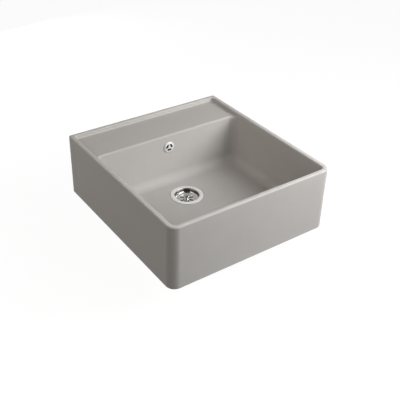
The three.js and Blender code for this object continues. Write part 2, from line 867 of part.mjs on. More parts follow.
function makeOverflowCover() {
  const faceY = coverBackY - overflowCoverThickness;
  const neckBoreRadius = overflowNeckRadius - overflowNeckWall;
  const disc = turned([
    [0, faceY],
    [overflowCoverRadius - overflowCoverThickness, faceY],
    [overflowCoverRadius - overflowCoverThickness / 4, faceY + overflowCoverThickness / 4],
    [overflowCoverRadius, coverBackY - overflowCoverThickness / 4],
    [overflowCoverRadius, coverBackY],
    [overflowNeckRadius, coverBackY],
    [overflowNeckRadius, neckEndY],
    [neckBoreRadius, neckEndY],
    [neckBoreRadius, coverBackY],
    [0, coverBackY],
  ], middleRound);
  // Seen from the bowl, one slot is level at the bottom and the other two lean together above it.
  const slots = aroundZ(overflowSlotCount, overflowSlot, Math.PI / 2);
  return alongY(carve(disc, { cut: slots })).translate(0, 0, overflowZ);
}

function makeOverflowCoverSeal() {
  const lowY = coverSealY - overflowCoverSealThickness;
  return onOverflowAxis(
    tubeProfile(overflowNeckRadius + ringGap, overflowCoverRadius - sheet, lowY, coverSealY),
    middleRound,
  );
}

function makeOverflowGasket() {
  return onOverflowAxis(
    tubeProfile(
      overflowHoleRadius + ringGap,
      overflowGasketRadius,
      gasketY,
      gasketY + overflowGasketThickness,
    ),
    middleRound,
  );
}

function downSpigotRun(radius, lowZ, highZ) {
  return turned(rodProfile(radius, lowZ, highZ), middleRound).translate(0, downSpigotY, 0);
}

function makeOverflowElbow() {
  const endY = downSpigotY + elbowRadius;
  const cutEndZ = upperSpigotEndZ - cutOverrun;
  const shell = onOverflowAxis([
    [0, elbowY],
    [elbowFlangeRadius, elbowY],
    [elbowFlangeRadius, elbowY + elbowFlangeThickness],
    [elbowRadius, elbowY + elbowFlangeThickness],
    [elbowRadius, endY - 2 * elbowWall],
    [elbowRadius - elbowWall, endY - elbowWall / 2],
    [elbowRadius - 2 * elbowWall, endY],
    [0, endY],
  ], middleRound);
  return carve(shell, {
    add: [downSpigotRun(spigotRadius, upperSpigotEndZ, overflowZ)],
    cut: [
      onOverflowAxis(
        rodProfile(overflowNeckRadius + ringGap, elbowY - cutOverrun, endY - 2 * elbowWall),
        middleRound,
      ),
      downSpigotRun(hoseBoreRadius, cutEndZ, overflowZ),
      downSpigotRun(spigotSocketRadius, cutEndZ, upperSpigotEndZ + spigotSocketDepth),
    ],
  });
}

// ---------------------------------------------------------------- overflow hose and union nuts

// The hose's centre line in the plane of the drain and the overflow: down, round and forwards.
// Returns the point and the unit direction at a distance along it.
const hoseTopZ = upperSpigotEndZ + spigotSocketDepth - seatGap;
const hoseEndY = lowerSpigotEndY - spigotSocketDepth + seatGap;
const hoseDownRun = hoseTopZ - (lowerSpigotZ + hoseBendRadius);
const hoseBendRun = (Math.PI / 2) * hoseBendRadius;
const hoseForwardRun = downSpigotY - hoseBendRadius - hoseEndY;
const hoseLength = hoseDownRun + hoseBendRun + hoseForwardRun;

function hosePoint(distance) {
  if (distance <= hoseDownRun) {
    return { y: downSpigotY, z: hoseTopZ - distance, angle: 0 };
  }
  const angle = Math.min((distance - hoseDownRun) / hoseBendRadius, Math.PI / 2);
  const beyond = Math.max(distance - hoseDownRun - hoseBendRun, 0);
  return {
    y: downSpigotY - hoseBendRadius * (1 - Math.cos(angle)) - beyond,
    z: lowerSpigotZ + hoseBendRadius * (1 - Math.sin(angle)),
    angle,
  };
}

// One ring of points about the centre line.
function hoseRing(distance, radius) {
  const { y, z, angle } = hosePoint(distance);
  return Array.from({ length: hoseRingPoints }, (_, i) => {
    const turn = ((i + 0.5) / hoseRingPoints) * 2 * Math.PI;
    const outward = radius * Math.cos(turn);
    return [
      radius * Math.sin(turn),
      y + outward * Math.cos(angle),
      z - outward * Math.sin(angle),
    ];
  });
}

function makeOverflowHose() {
  const ribbedLength = hoseLength - 2 * hoseCuffLength;
  const ribCount = Math.round(ribbedLength / hoseRibPitch);
  const pitch = ribbedLength / ribCount;
  const outside = [hoseRing(0, hoseRadius), hoseRing(hoseCuffLength - pitch / 4, hoseRadius)];
  const bore = [hoseRing(0, hoseBoreRadius)];
  for (let rib = 0; rib < ribCount; rib += 1) {
    const start = hoseCuffLength + rib * pitch;
    outside.push(hoseRing(start + pitch / 4, hoseRadius - hoseRibDepth));
    outside.push(hoseRing(start + (3 * pitch) / 4, hoseRadius));
    if (rib % hoseBoreRingEvery === 0) bore.push(hoseRing(start, hoseBoreRadius));
  }
  outside.push(hoseRing(hoseLength, hoseRadius));
  bore.push(hoseRing(hoseLength, hoseBoreRadius));
  const rings = [...outside, ...bore.reverse()];
  const triangles = [];
  rings.forEach((_, ring) => {
    const nextRing = (ring + 1) % rings.length;
    for (let i = 0; i < hoseRingPoints; i += 1) {
      const next = (i + 1) % hoseRingPoints;
      const [a, b] = [ring * hoseRingPoints + i, ring * hoseRingPoints + next];
      const [c, d] = [nextRing * hoseRingPoints + i, nextRing * hoseRingPoints + next];
      triangles.push(a, b, d, a, d, c);
    }
  });
  const geometry = new THREE.BufferGeometry();
  geometry.setAttribute('position', new THREE.Float32BufferAttribute(rings.flat(2), 3));
  geometry.setIndex(triangles);
  return geometry;
}

// A union nut and its seal ring in their own frame: the spigot's end is at 0, and +Z leads out
// along the hose.
function nutProfile() {
  const lipZ = hoseSealThickness + 2 * seatGap;
  const lipBoreRadius = hoseRadius + ringGap;
  return [
    [spigotRadius + ringGap, -nutThreadLength],
    [nutRadius - sheet, -nutThreadLength],
    [nutRadius, sheet - nutThreadLength],
    [nutRadius, lipZ + nutLipThickness - 2 * sheet],
    [nutRadius - 2 * sheet, lipZ + nutLipThickness],
    [lipBoreRadius, lipZ + nutLipThickness],
    [lipBoreRadius, lipZ],
    [spigotRadius + ringGap, lipZ],
  ];
}

function hoseSealProfile() {
  const lowZ = seatGap;
  return tubeProfile(hoseRadius + ringGap, spigotRadius, lowZ, lowZ + hoseSealThickness);
}

const atUpperSpigot = (geometry) => (
  geometry.rotateX(Math.PI).translate(0, downSpigotY, upperSpigotEndZ)
);
const atLowerSpigot = (geometry) => (
  alongY(geometry).translate(0, lowerSpigotEndY, lowerSpigotZ)
);

// ---------------------------------------------------------------- assembly

function named(name, geometry, material) {
  const mesh = new THREE.Mesh(closedGeometry(geometry), material);
  mesh.name = name;
  return mesh;
}

function group(...meshes) {
  const holder = new THREE.Group();
  holder.add(...meshes);
  return holder;
}

const overflow = group(
  named('overflow_cover', makeOverflowCover(), polishedChrome()),
  named('overflow_cover_seal', makeOverflowCoverSeal(), greyRubber()),
  named('overflow_gasket', makeOverflowGasket(), blackRubber()),
  named('overflow_elbow', makeOverflowElbow(), whitePolypropylene()),
);

const hose = group(
  named('upper_hose_nut', atUpperSpigot(turned(nutProfile(), middleRound)), greyPolypropylene()),
  named('upper_hose_seal', atUpperSpigot(turned(hoseSealProfile(), smallRound)), blackRubber()),
  named('overflow_hose', makeOverflowHose(), whitePolypropylene()),
  named('lower_hose_seal', atLowerSpigot(turned(hoseSealProfile(), smallRound)), blackRubber()),
  named('lower_hose_nut', atLowerSpigot(turned(nutProfile(), middleRound)), greyPolypropylene()),
);

const waste = group(
  named('strainer_cup', makeStrainerCup(), pressedStainless()),
  named('flange_seal', makeFlangeSeal(), greyRubber()),
  named('lower_seal', makeLowerSeal(), blackRubber()),
  named('waste_body', makeWasteBody(), whitePolypropylene()),
  named('clamp_screw', makeClampScrew(), pressedStainless()),
  named('screw_washer', makeScrewWasher(), blackRubber()),
  named('insert_nut', makeInsertNut(), turnedBrass()),
);

const liftOutBasket = group(
  named('basket', makeBasket(), pressedStainless()),
  named('basket_knob', makeBasketKnob(), polishedChrome()),
  named('basket_stem', makeBasketStem(), pressedStainless()),
  named('seal_carrier', makeSealCarrier(), greyPolypropylene()),
  named('plug_seal', makePlugSeal(), blackRubber()),
  named('stem_ring', makeStemRing(), blackRubber()),
);

const sink = group(named('sink_body', makeSinkBody(), glazedCeramic()));
sink.add(overflow, hose, waste, liftOutBasket);

export default sink;
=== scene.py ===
# %% [markdown]
# # A farmhouse apron front sink
# This lesson dresses a finished CAD assembly as it looks in a shop photograph. The CAD model gives
# every size and place, in metres, with Z up. The ceramic, the strainer and the plumbing are
# modelled again here with finer forms, and each piece stands in for a CAD piece.

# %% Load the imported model
import json
import math

import bmesh
import bpy
from mathutils import Matrix, Vector

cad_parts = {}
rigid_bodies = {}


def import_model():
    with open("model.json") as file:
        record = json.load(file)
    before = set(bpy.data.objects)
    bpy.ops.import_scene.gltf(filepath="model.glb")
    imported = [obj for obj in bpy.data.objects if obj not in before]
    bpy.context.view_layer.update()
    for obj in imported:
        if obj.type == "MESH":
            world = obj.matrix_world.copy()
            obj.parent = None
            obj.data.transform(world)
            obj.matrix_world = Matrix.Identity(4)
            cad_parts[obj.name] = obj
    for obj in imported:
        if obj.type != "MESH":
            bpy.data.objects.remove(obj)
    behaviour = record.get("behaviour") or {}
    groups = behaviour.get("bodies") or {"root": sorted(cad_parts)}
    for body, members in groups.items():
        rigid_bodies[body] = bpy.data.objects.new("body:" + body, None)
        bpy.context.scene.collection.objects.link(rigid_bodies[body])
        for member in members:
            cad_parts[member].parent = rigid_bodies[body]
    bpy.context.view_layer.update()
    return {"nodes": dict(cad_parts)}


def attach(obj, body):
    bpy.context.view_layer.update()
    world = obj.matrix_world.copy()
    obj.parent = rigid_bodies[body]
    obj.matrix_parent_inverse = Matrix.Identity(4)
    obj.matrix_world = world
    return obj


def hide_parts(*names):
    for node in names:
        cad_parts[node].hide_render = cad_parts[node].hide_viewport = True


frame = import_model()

print("pieces in the CAD model:", len(frame["nodes"]))

# %% [markdown]
# ## The camera
# The photograph was taken from the front left, above the rim, with a fairly long lens. Its place
# was solved from the sink's straight edges, so the render has the same perspective. The picture's
# centre lies a little below the lens's axis, which a small vertical shift gives.

# %% Camera
CAMERA_PLACE = Vector((-1.1017, -1.4805, 1.3151))
CAMERA_HEADING = math.radians(35.89)  # from +Y towards +X
CAMERA_DOWN = math.radians(32.33)
CAMERA_ROLL = math.radians(1.71)
LENS_MM = 61.3
SENSOR_MM = 36
LENS_SHIFT = -0.05  # of the picture's width

camera_data = bpy.data.cameras.new("photo_camera")
camera_data.lens = LENS_MM
camera_data.sensor_width = SENSOR_MM
camera_data.shift_y = LENS_SHIFT
camera = bpy.data.objects.new("photo_camera", camera_data)
camera.matrix_world = (
    Matrix.Translation(CAMERA_PLACE)
    @ Matrix.Rotation(-CAMERA_HEADING, 4, "Z")
    @ Matrix.Rotation(math.pi / 2 - CAMERA_DOWN, 4, "X")
    @ Matrix.Rotation(CAMERA_ROLL, 4, "Z")
)
bpy.context.scene.collection.objects.link(camera)
bpy.context.scene.camera = camera
bpy.context.scene.view_settings.view_transform = "Standard"
print("camera at", [round(x, 3) for x in camera.location], "with a lens of", LENS_MM, "mm")

# %% [markdown]
# ## Nodes and colours
# A material is a small graph of nodes. One function adds a node, sets what is given and links its
# inputs. Colours are written as the sRGB hex values a paint chart would show, and one function
# turns them into the linear values that a renderer works with.


# %% Node and colour helpers
def srgb(code):
    """The linear colour of an sRGB hex value such as #A3A09B."""
    channels = [int(code[i : i + 2], 16) / 255 for i in (1, 3, 5)]
    linear = [c / 12.92 if c <= 0.04045 else ((c + 0.055) / 1.055) ** 2.4 for c in channels]
    return (*linear, 1.0)


def add_node(tree, kind, links=None, sockets=None, settings=None):
    """Adds a node, sets and links it, and returns its outputs. A link to None is left out."""
    node = tree.nodes.new("ShaderNode" + kind)
    for field, value in (settings or {}).items():
        setattr(node, field, value)
    for socket, value in (sockets or {}).items():
        node.inputs[socket].default_value = value
    for socket, source in (links or {}).items():
        if source is not None:
            tree.links.new(source, node.inputs[socket])
    return node.outputs


def empty_material(name):
    """A material whose node tree is empty, and that tree."""
    material = bpy.data.materials.new(name)
    material.use_nodes = True
    material.node_tree.nodes.clear()
    return material, material.node_tree


print("a mid grey is", [round(channel, 3) for channel in srgb("#A3A09B")])

# %% [markdown]
# ## Working as by hand
# Every piece starts as a primitive and is shaped in edit mode with the same tools that a modeller
# picks from the menus: extrude, bevel, bridge, spin, resize. A script can't click, so faces and
# edges are picked by where they are.

# %% Starting, picking and finishing
MM = 0.001
TINY = 1e-6


def start(name, add_primitive, **sizes):
    """A new object from a primitive, alone in the selection."""
    bpy.ops.object.select_all(action="DESELECT")
    add_primitive(**sizes)
    made = bpy.context.object
    made.name = made.data.name = name
    return made


def pick(kind, wanted):
    """In edit mode, selects only the vertices, edges or faces all of whose corners are wanted."""
    bpy.ops.mesh.select_mode(type=kind)
    bpy.ops.mesh.select_all(action="DESELECT")
    mesh = bmesh.from_edit_mesh(bpy.context.edit_object.data)
    parts = {"VERT": mesh.verts, "EDGE": mesh.edges, "FACE": mesh.faces}[kind]
    for part in parts:
        corners = [part] if kind == "VERT" else part.verts
        part.select_set(all(wanted(corner.co) for corner in corners))
    mesh.select_flush_mode()
    bmesh.update_edit_mesh(bpy.context.edit_object.data)


def select_only(*pieces):
    """Selects these objects and no others. The first becomes the active one."""
    bpy.ops.object.select_all(action="DESELECT")
    for piece in pieces:
        piece.select_set(True)
    bpy.context.view_layer.objects.active = pieces[0]


def apply_modifier(piece, kind, **fields):
    """Adds a modifier, sets its fields and applies it."""
    select_only(piece)
    modifier = piece.modifiers.new(kind.lower(), kind)
    for field, value in fields.items():
        setattr(modifier, field, value)
    bpy.ops.object.modifier_apply(modifier=modifier.name)


def combine(piece, tool, operation="DIFFERENCE"):
    """Cuts the tool out of the piece, or joins it on, and throws the tool away."""
    apply_modifier(piece, "BOOLEAN", operation=operation, solver="EXACT", object=tool)
    bpy.data.objects.remove(tool)


print("one millimetre is", MM, "metres")

# %% [markdown]
# ## The fired ceramic body
# The real body is fireclay, slip-cast in a plaster mould and fired with its glaze, so there is no
# sharp edge on it. A subdivided box would give soft corners, but not walls that are flat and true
# within a millimetre. So each form is built from flat outlines, one above the other: a plane whose
# corners are rounded by a vertex bevel. Bridging the outlines gives a block whose corner radius may
# change with height, as the bowl's does where its upright corners run out into the coved floor.


# %% Rounded outlines, bridged
CORNER_STEPS = 12


def round_corners(radius, steps):
    """In edit mode, rounds the picked corners of an outline or a section."""
    bpy.ops.mesh.bevel(affect="VERTICES", offset=radius * MM, segments=steps, clamp_overlap=False)


def add_outline(height, left, right, front, rear, front_radius, rear_radius, swell=0.0):
    """In edit mode, adds a flat outline in millimetres. Its rear may swell between the walls."""
    centre = Vector(((left + right) / 2, (front + rear) / 2, height)) * MM
    bpy.ops.mesh.select_all(action="DESELECT")
    bpy.ops.mesh.primitive_plane_add(size=1, location=centre)
    size = Vector((right - left + 2 * swell, rear - front + swell, 1000)) * MM
    bpy.ops.transform.resize(value=size, center_override=centre)
    bpy.ops.transform.translate(value=(0, swell * MM / 2, 0))
    for radius, is_side in (
        (front_radius, lambda point: point.y < centre.y),
        (rear_radius + swell, lambda point: point.y > centre.y),
    ):
        pick("VERT", lambda point: abs(point.z - centre.z) < TINY and is_side(point))
        round_corners(radius, CORNER_STEPS)
    for wall in (left * MM, right * MM):
        outside = -1 if wall < centre.x else 1
        pick("VERT", lambda p: abs(p.z - centre.z) < TINY and (p.x - wall) * outside > TINY)
        bpy.ops.transform.resize(value=(0, 1, 1), center_override=(wall, 0, 0))


def bridged_block(name, outlines):
    """A closed block through outlines that are listed from its lowest to its highest."""
    block = start(name, bpy.ops.mesh.primitive_plane_add, size=1)
    bpy.ops.object.mode_set(mode="EDIT")
    bpy.ops.mesh.delete(type="VERT")
    for outline in outlines:
        add_outline(**outline)
    bpy.ops.mesh.select_all(action="SELECT")
    bpy.ops.mesh.delete(type="ONLY_FACE")
    heights = [outline["height"] * MM for outline in outlines]
    for low, high in zip(heights, heights[1:]):
        pick("EDGE", lambda point: min(abs(point.z - low), abs(point.z - high)) < TINY)
        bpy.ops.mesh.bridge_edge_loops()
    for end in (heights[0], heights[-1]):
        pick("EDGE", lambda point: abs(point.z - end) < TINY)
        bpy.ops.mesh.edge_face_add()
    bpy.ops.mesh.select_all(action="SELECT")
    bpy.ops.mesh.normals_make_consistent(inside=False)
    bpy.ops.object.mode_set(mode="OBJECT")
    return block


print("an outline's corner takes", CORNER_STEPS, "steps")

# %% Rounded edges
FILLET_STEPS = 6
INWARD, OUTWARD = 1, -1


def inset_outline(plan, distance):
    """The same outline moved in on all sides, or out for a negative distance."""
    moves = {"left": distance, "front": distance}
    return {side: value + moves.get(side, -distance) for side, value in plan.items()}


def quarter_round(steps):
    """Shares of a quarter circle, from upright to level: how far in, and how far along."""
    angles = [step / steps * math.pi / 2 for step in range(steps + 1)]
    return [(1 - math.cos(angle), math.sin(angle)) for angle in angles]


def rounded_edge(plan, level, radius, way=INWARD, steps=FILLET_STEPS):
    """Outlines from a wall round to a level above it, or below it for a negative radius."""
    outlines = [
        {"height": level - radius * (1 - along), **inset_outline(plan, abs(radius) * way * across)}
        for across, along in quarter_round(steps)
    ]
    return outlines if radius > 0 else outlines[::-1]


print("a rounded edge takes", FILLET_STEPS, "steps")

# %% [markdown]
# The outside is a plain block: 595 wide, 630 deep and 220 high. The apron's two upright corners are
# rounded to 30 mm and the back ones to 8 mm. The rim turns over in a 5 mm round, and the foot in a
# smaller one, because a foot that is too sharp chips on the way to the kiln.

# %% Outer block
SINK = dict(left=-297.5, right=297.5, front=-245.5, rear=384.5, front_radius=30.0, rear_radius=8.0)
SINK_HEIGHT = 220.0
RIM_ROUND = 5.0
FOOT_ROUND = 3.0

foot = rounded_edge(SINK, 0.0, -FOOT_ROUND)
rim = rounded_edge(SINK, SINK_HEIGHT, RIM_ROUND)
ceramic_body = bridged_block("ceramic_body", foot + rim)
print("outer block:", [round(x, 4) for x in ceramic_body.dimensions])

# %% [markdown]
# Two cuts from above give the inside. The first opens the space over the tap ledge and the bowl
# together, down to the ledge 14 mm below the rim. The second is the bowl. Its floor is coved 32 mm
# up the walls so that a cloth can follow it, and the ledge turns down into it over a round nose. At
# the nose the bowl's rear outline swells, and the points that would run into the side walls are
# flattened against them.

# %% Opening and bowl
OPENING = dict(
    left=-280.5, right=280.5, front=-229.5, rear=369.5, front_radius=14.0, rear_radius=10.0
)
LEDGE_HEIGHT = 206.0
LEDGE_FILLET = 5.0
BOWL_REAR = 229.5
BOWL_REAR_CORNER = 28.0
BOWL_FLOOR = 26.0
BOWL_FLOOR_CORNER = 40.0
COVE = 32.0
COVE_STEPS = 12
NOSE = 6.0
OVERRUN = 3.0  # how far a cut runs on past the face it opens

over_ledge = rounded_edge(OPENING, LEDGE_HEIGHT, -LEDGE_FILLET)
over_ledge += rounded_edge(OPENING, SINK_HEIGHT, RIM_ROUND, OUTWARD)
over_ledge.append({"height": SINK_HEIGHT + OVERRUN, **inset_outline(OPENING, -RIM_ROUND)})
combine(ceramic_body, bridged_block("over_ledge_cut", over_ledge))

BOWL = {**OPENING, "rear": BOWL_REAR, "rear_radius": BOWL_REAR_CORNER}


def coved_outline(share):
    """The bowl's outline where its wall has come in by a share of the cove."""
    outline = inset_outline(BOWL, COVE * share)
    for corner in ("front_radius", "rear_radius"):
        outline[corner] = BOWL[corner] + (BOWL_FLOOR_CORNER - BOWL[corner]) * share
    return outline


bowl = [
    {"height": BOWL_FLOOR + COVE * (1 - along), **coved_outline(across)}
    for across, along in reversed(quarter_round(COVE_STEPS))
]
bowl += [
    {"height": LEDGE_HEIGHT - NOSE * (1 - along), **BOWL, "swell": NOSE * across}
    for across, along in quarter_round(FILLET_STEPS)
]
bowl.append({"height": LEDGE_HEIGHT + LEDGE_FILLET + OVERRUN, **BOWL, "swell": NOSE})
combine(ceramic_body, bridged_block("bowl_cut", bowl))
print("faces after the bowl is cut:", len(ceramic_body.data.polygons))

# %% [markdown]
# The underside isn't in the photograph. Such a sink is hollow below its ledge, so that the tap's
# tails and the overflow hose find room, and there are two round places in the hollow's roof where
# the ceramic is thin enough to be knocked out for a tap.

# %% Hollow below the ledge
HOLLOW = dict(
    left=-280.5, right=280.5, front=247.5, rear=369.5, front_radius=12.0, rear_radius=12.0
)
HOLLOW_ROOF = 190.0

hollow = [{"height": -OVERRUN, **inset_outline(HOLLOW, -FOOT_ROUND)}]
hollow += rounded_edge(HOLLOW, 0.0, -FOOT_ROUND, OUTWARD)
hollow += rounded_edge(HOLLOW, HOLLOW_ROOF, LEDGE_FILLET)
combine(ceramic_body, bridged_block("hollow_cut", hollow))
print("faces after the hollow is cut:", len(ceramic_body.data.polygons))

# %% [markdown]
# ## A lathe
# The drain, the strainer, the overflow and most of the plumbing are round: spun, turned or moulded
# with a core on one axis. Each starts as one point that is extruded into half a section. Its
# corners are rounded by vertex bevels, and the spin tool turns the section about the axis.


# %% Drawing and spinning a section
UP = Vector((0, 0, 1))
BACK = Vector((0, 1, 0))
DRAIN = Vector((0, 115.5, 0))  # the strainer's axis, in millimetres
OVERFLOW = Vector((0, 0, 160.0))  # the overflow's axis
ROUND_STEPS = 96


def spun(name, section, foot=DRAIN, axis=UP, rounds=(), steps=ROUND_STEPS, is_sheet=False):
    """Spins a section of (radius, height) points. Rounds are (which points, radius, steps).

    A solid's section that starts off the axis is closed by one more edge. A sheet's stays open.
    """
    def place(radius, height):
        return (foot + Vector((radius, 0, 0)) + axis * height) * MM

    points = [place(*point) for point in section]
    piece = start(name, bpy.ops.mesh.primitive_plane_add, size=TINY, location=points[0])
    bpy.ops.object.mode_set(mode="EDIT")
    bpy.ops.mesh.select_mode(type="VERT")
    bpy.ops.mesh.merge(type="CENTER")
    for here, there in zip(points, points[1:]):
        bpy.ops.mesh.extrude_vertices_move(TRANSFORM_OT_translate={"value": there - here})
    if section[0][0] > 0 and not is_sheet:
        ends = (points[0], points[-1])
        pick("VERT", lambda point: min((point - end).length for end in ends) < TINY)
        bpy.ops.mesh.edge_face_add()
    for corners, radius, fineness in rounds:
        pick("VERT", lambda point: min((point - points[i]).length for i in corners) < TINY)
        round_corners(radius, fineness)
    bpy.ops.mesh.select_all(action="SELECT")
    bpy.ops.mesh.spin(steps=steps, angle=2 * math.pi, center=foot * MM, axis=axis)
    bpy.ops.mesh.select_all(action="SELECT")
    bpy.ops.mesh.remove_doubles(threshold=TINY)
    bpy.ops.mesh.normals_make_consistent(inside=False)
    bpy.ops.object.mode_set(mode="OBJECT")
    bpy.ops.object.transform_apply()
    return piece


def rod(radius, low, high):
    """The half section of a solid rod."""
    return [(0, low), (radius, low), (radius, high), (0, high)]


print("round pieces are turned in", ROUND_STEPS, "steps")

# %% [markdown]
# The drain is cut by one spun tool: a wide recess below for the waste's clamping flange, the hole,
# and a shallow seat above for the strainer's flange, whose edge the glaze has rounded. The overflow
# hole runs through the bowl's rear wall, and the two tap places are sunk into the hollow's roof.

# %% Drain, overflow and tap places
TAP_PLACES = (Vector((-120, 308.5, 0)), Vector((120, 308.5, 0)))

drain_section = [(0, -8), (63, -8), (63, 8)]  # the recess below
drain_section += [(45, 8), (45, 24)]  # the hole
drain_section += [(58.5, 24), (58.5, 26), (66.5, 26), (66.5, 30), (0, 30)]  # the seat above
combine(ceramic_body, spun("drain_cut", drain_section, rounds=(((6,), 1.9, 5), ((3, 4), 1.5, 4))))
combine(ceramic_body, spun("overflow_cut", rod(16.5, 220.0, 256.0), OVERFLOW, BACK))
for tap_place in TAP_PLACES:
    tap_cut = spun("tap_cut", rod(17.5, 185.0, 201.0), tap_place, rounds=(((2,), 2, 4),))
    combine(ceramic_body, tap_cut)
print("faces of the ceramic body:", len(ceramic_body.data.polygons))

# %% [markdown]
# The cuts leave long thin faces beside large flat ones. Smooth shading by angle keeps real creases
# crisp, and a Weighted Normal modifier lets the large flat faces set the shading, so the light runs
# evenly up to each round.


def seat(piece, node, body, material, smooth_degrees=35.0):
    """Shades a piece, gives it its finish, and puts it on its body in the CAD node's place."""
    select_only(piece)
    bpy.ops.object.shade_smooth_by_angle(angle=math.radians(smooth_degrees))
    apply_modifier(piece, "WEIGHTED_NORMAL", keep_sharp=True)
    piece.data.materials.clear()
    piece.data.materials.append(material)
    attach(piece, body)
    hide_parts(node)
    print(piece.name, "has", len(piece.data.polygons), "faces")


# %% [markdown]
# ## Glazed fireclay
# Fireclay is coarse clay with fired grog in it. It is covered with a white slip and a coloured
# glaze, and fired at about 1200 degrees. This glaze is a satin one, warm grey, whose crystals
# scatter the light, so a lamp shows as a wide soft sheen and never as a mirror image. The glaze
# melts and pools a little, which leaves waves a few centimetres long and a skin like orange peel.
# It runs thinner over the rim, where the slip lightens it, and a painted sheen lightens the top 5
# mm.
# The foot is wiped clean before firing, so it shows bare clay. All of it is drawn from object
# coordinates, because glaze follows no grain.

# %% Where the glaze waves, thins under a painted sheen, and ends
WAVE_MM = 45.0
PEEL_MM = 4.0
RIM_THINNING_AND_SHEEN = 0.7
WIPED_FOOT_MM = 1.2

glaze, tree = empty_material("satin_glaze_on_fireclay")
place = add_node(tree, "TexCoord")["Object"]
height = add_node(tree, "SeparateXYZ", {"Vector": place})["Z"]
waves, peel = [
    add_node(
        tree, "TexNoise", {"Vector": place},
        {"Scale": 1 / (size * MM), "Detail": detail, "Roughness": fineness},
    )["Fac"]
    for size, detail, fineness in ((WAVE_MM, 2.0, 0.5), (PEEL_MM, 1.0, 0.4))
]
thin_rim_and_sheen, wiped = [
    add_node(
        tree, "MapRange", {"Value": height},
        {"From Min": low * MM, "From Max": high * MM, "To Min": below, "To Max": above},
    )["Result"]
    for low, high, below, above in (
        (SINK_HEIGHT - RIM_ROUND, SINK_HEIGHT, 0.0, RIM_THINNING_AND_SHEEN),
        (0.8 * WIPED_FOOT_MM, WIPED_FOOT_MM, 1.0, 0.0),
    )
]
print("the glaze's waves are", WAVE_MM, "mm long and its peel", PEEL_MM, "mm")

# %% Colour, gloss and relief of the glaze
GLAZE_POOLED = srgb("#B6B3AF")
GLAZE_GREY = srgb("#BBB8B5")
# Lighter over the top 5 mm: thinner glaze, and in part a painted sheen.
GLAZE_THIN_AND_SHEEN = srgb("#C1BFBC")
BARE_CLAY = srgb("#C9BBA2")
SATIN_SMOOTHEST = 0.56
SATIN_ROUGHEST = 0.64
WAVE_DEPTH_MM = 0.5
PEEL_DEPTH_MM = 0.05

colour = None
for share, layer in ((waves, GLAZE_GREY), (thin_rim_and_sheen, GLAZE_THIN_AND_SHEEN), (wiped, BARE_CLAY)):
    colour = add_node(
        tree, "Mix", {"Factor": share, "A": colour}, {"A": GLAZE_POOLED, "B": layer},
        {"data_type": "RGBA"},
    )["Result"]
gloss = add_node(
    tree, "MapRange", {"Value": waves}, {"To Min": SATIN_SMOOTHEST, "To Max": SATIN_ROUGHEST}
)["Result"]
roughness = add_node(tree, "Math", {0: gloss, 1: wiped}, settings={"operation": "MAXIMUM"})[0]
normal = None
for pattern, strength, depth in ((waves, 0.25, WAVE_DEPTH_MM), (peel, 0.1, PEEL_DEPTH_MM)):
    normal = add_node(
        tree, "Bump", {"Height": pattern, "Normal": normal},
        {"Strength": strength, "Distance": depth * MM},
    )["Normal"]
surface = add_node(
    tree, "BsdfPrincipled", {"Base Color": colour, "Roughness": roughness, "Normal": normal},
    {"IOR": 1.5, "Specular IOR Level": 0.2},
)
add_node(tree, "OutputMaterial", {"Surface": surface[0]})
seat(ceramic_body, "sink_body", "sink", glaze)

# %% [markdown]
# ## Metals
# The overflow's grille and the knob are brass, plated with chromium, which is a little blue. The
# grille was blasted to a satin before plating, and plating hardly reaches into its neck, which is
# left bare and painted near black as shade, far darker than brass. The grille's chrome is tinted
# near white as a painted sheen. The knob was polished, so it mirrors the bowl, and keeps chromium's
# grey.
# The strainer's cup and basket are pressed from 1 mm stainless steel and polished with a rotating
# mop, which leaves faint rings round the axis. The flange, where pans would scratch a mirror, is
# brushed to a satin and tinted near white as a painted sheen. The cup's belly and the corner over
# its shoulder are painted near black as shade, so the petals show dark and a dark line runs round
# the basket. Screw and stem are turned steel, and the insert is turned brass. Real rings are 0.1 to
# 0.3 mm apart, too fine to show in the render, so they are drawn as faint wide waves.

# %% Smudges, and the neck without plating, painted dark as shade
SMUDGE_MM = 14.0
COVER_FACE = 225.4
NECK_RADIUS = 15.5
PLATE_THROW = 0.9  # how far behind the face the plating reaches
PLATE_FADE = 0.3


def smudged(tree, place, smoothest, roughest):
    """A roughness that changes in soft patches, as fingers and cloths leave it."""
    patches = add_node(
        tree, "TexNoise", {"Vector": place}, {"Scale": 1 / (SMUDGE_MM * MM), "Detail": 3.0}
    )["Fac"]
    return add_node(
        tree, "MapRange", {"Value": patches}, {"To Min": smoothest, "To Max": roughest}
    )["Result"]


def bare_and_shaded_neck(tree, place):
    """Nought on the grille's face and edge, and one deep in its neck, where no plating reached and
    shade is painted.
    """
    depth = add_node(tree, "SeparateXYZ", {"Vector": place})["Y"]
    plate_end = COVER_FACE + PLATE_THROW
    deep = add_node(
        tree, "MapRange", {"Value": depth},
        {"From Min": (plate_end - PLATE_FADE) * MM, "From Max": plate_end * MM},
    )["Result"]
    across = add_node(
        tree, "Mapping", {"Vector": place}, {"Location": -OVERFLOW * MM, "Scale": (1, 0, 1)}
    )["Vector"]
    off_axis = add_node(tree, "VectorMath", {0: across}, settings={"operation": "LENGTH"})["Value"]
    inside = add_node(
        tree, "Math", {0: off_axis}, {1: NECK_RADIUS * MM}, {"operation": "LESS_THAN"}
    )[0]
    return add_node(tree, "Math", {0: deep, 1: inside}, settings={"operation": "MULTIPLY"})[0]


print("the plating reaches", PLATE_THROW, "mm behind the grille's face")

# %% Chrome plate
# Far darker than brass: painted shade in the grille's bare neck.
BARE_BRASS_AND_SHADE = srgb("#34302A")


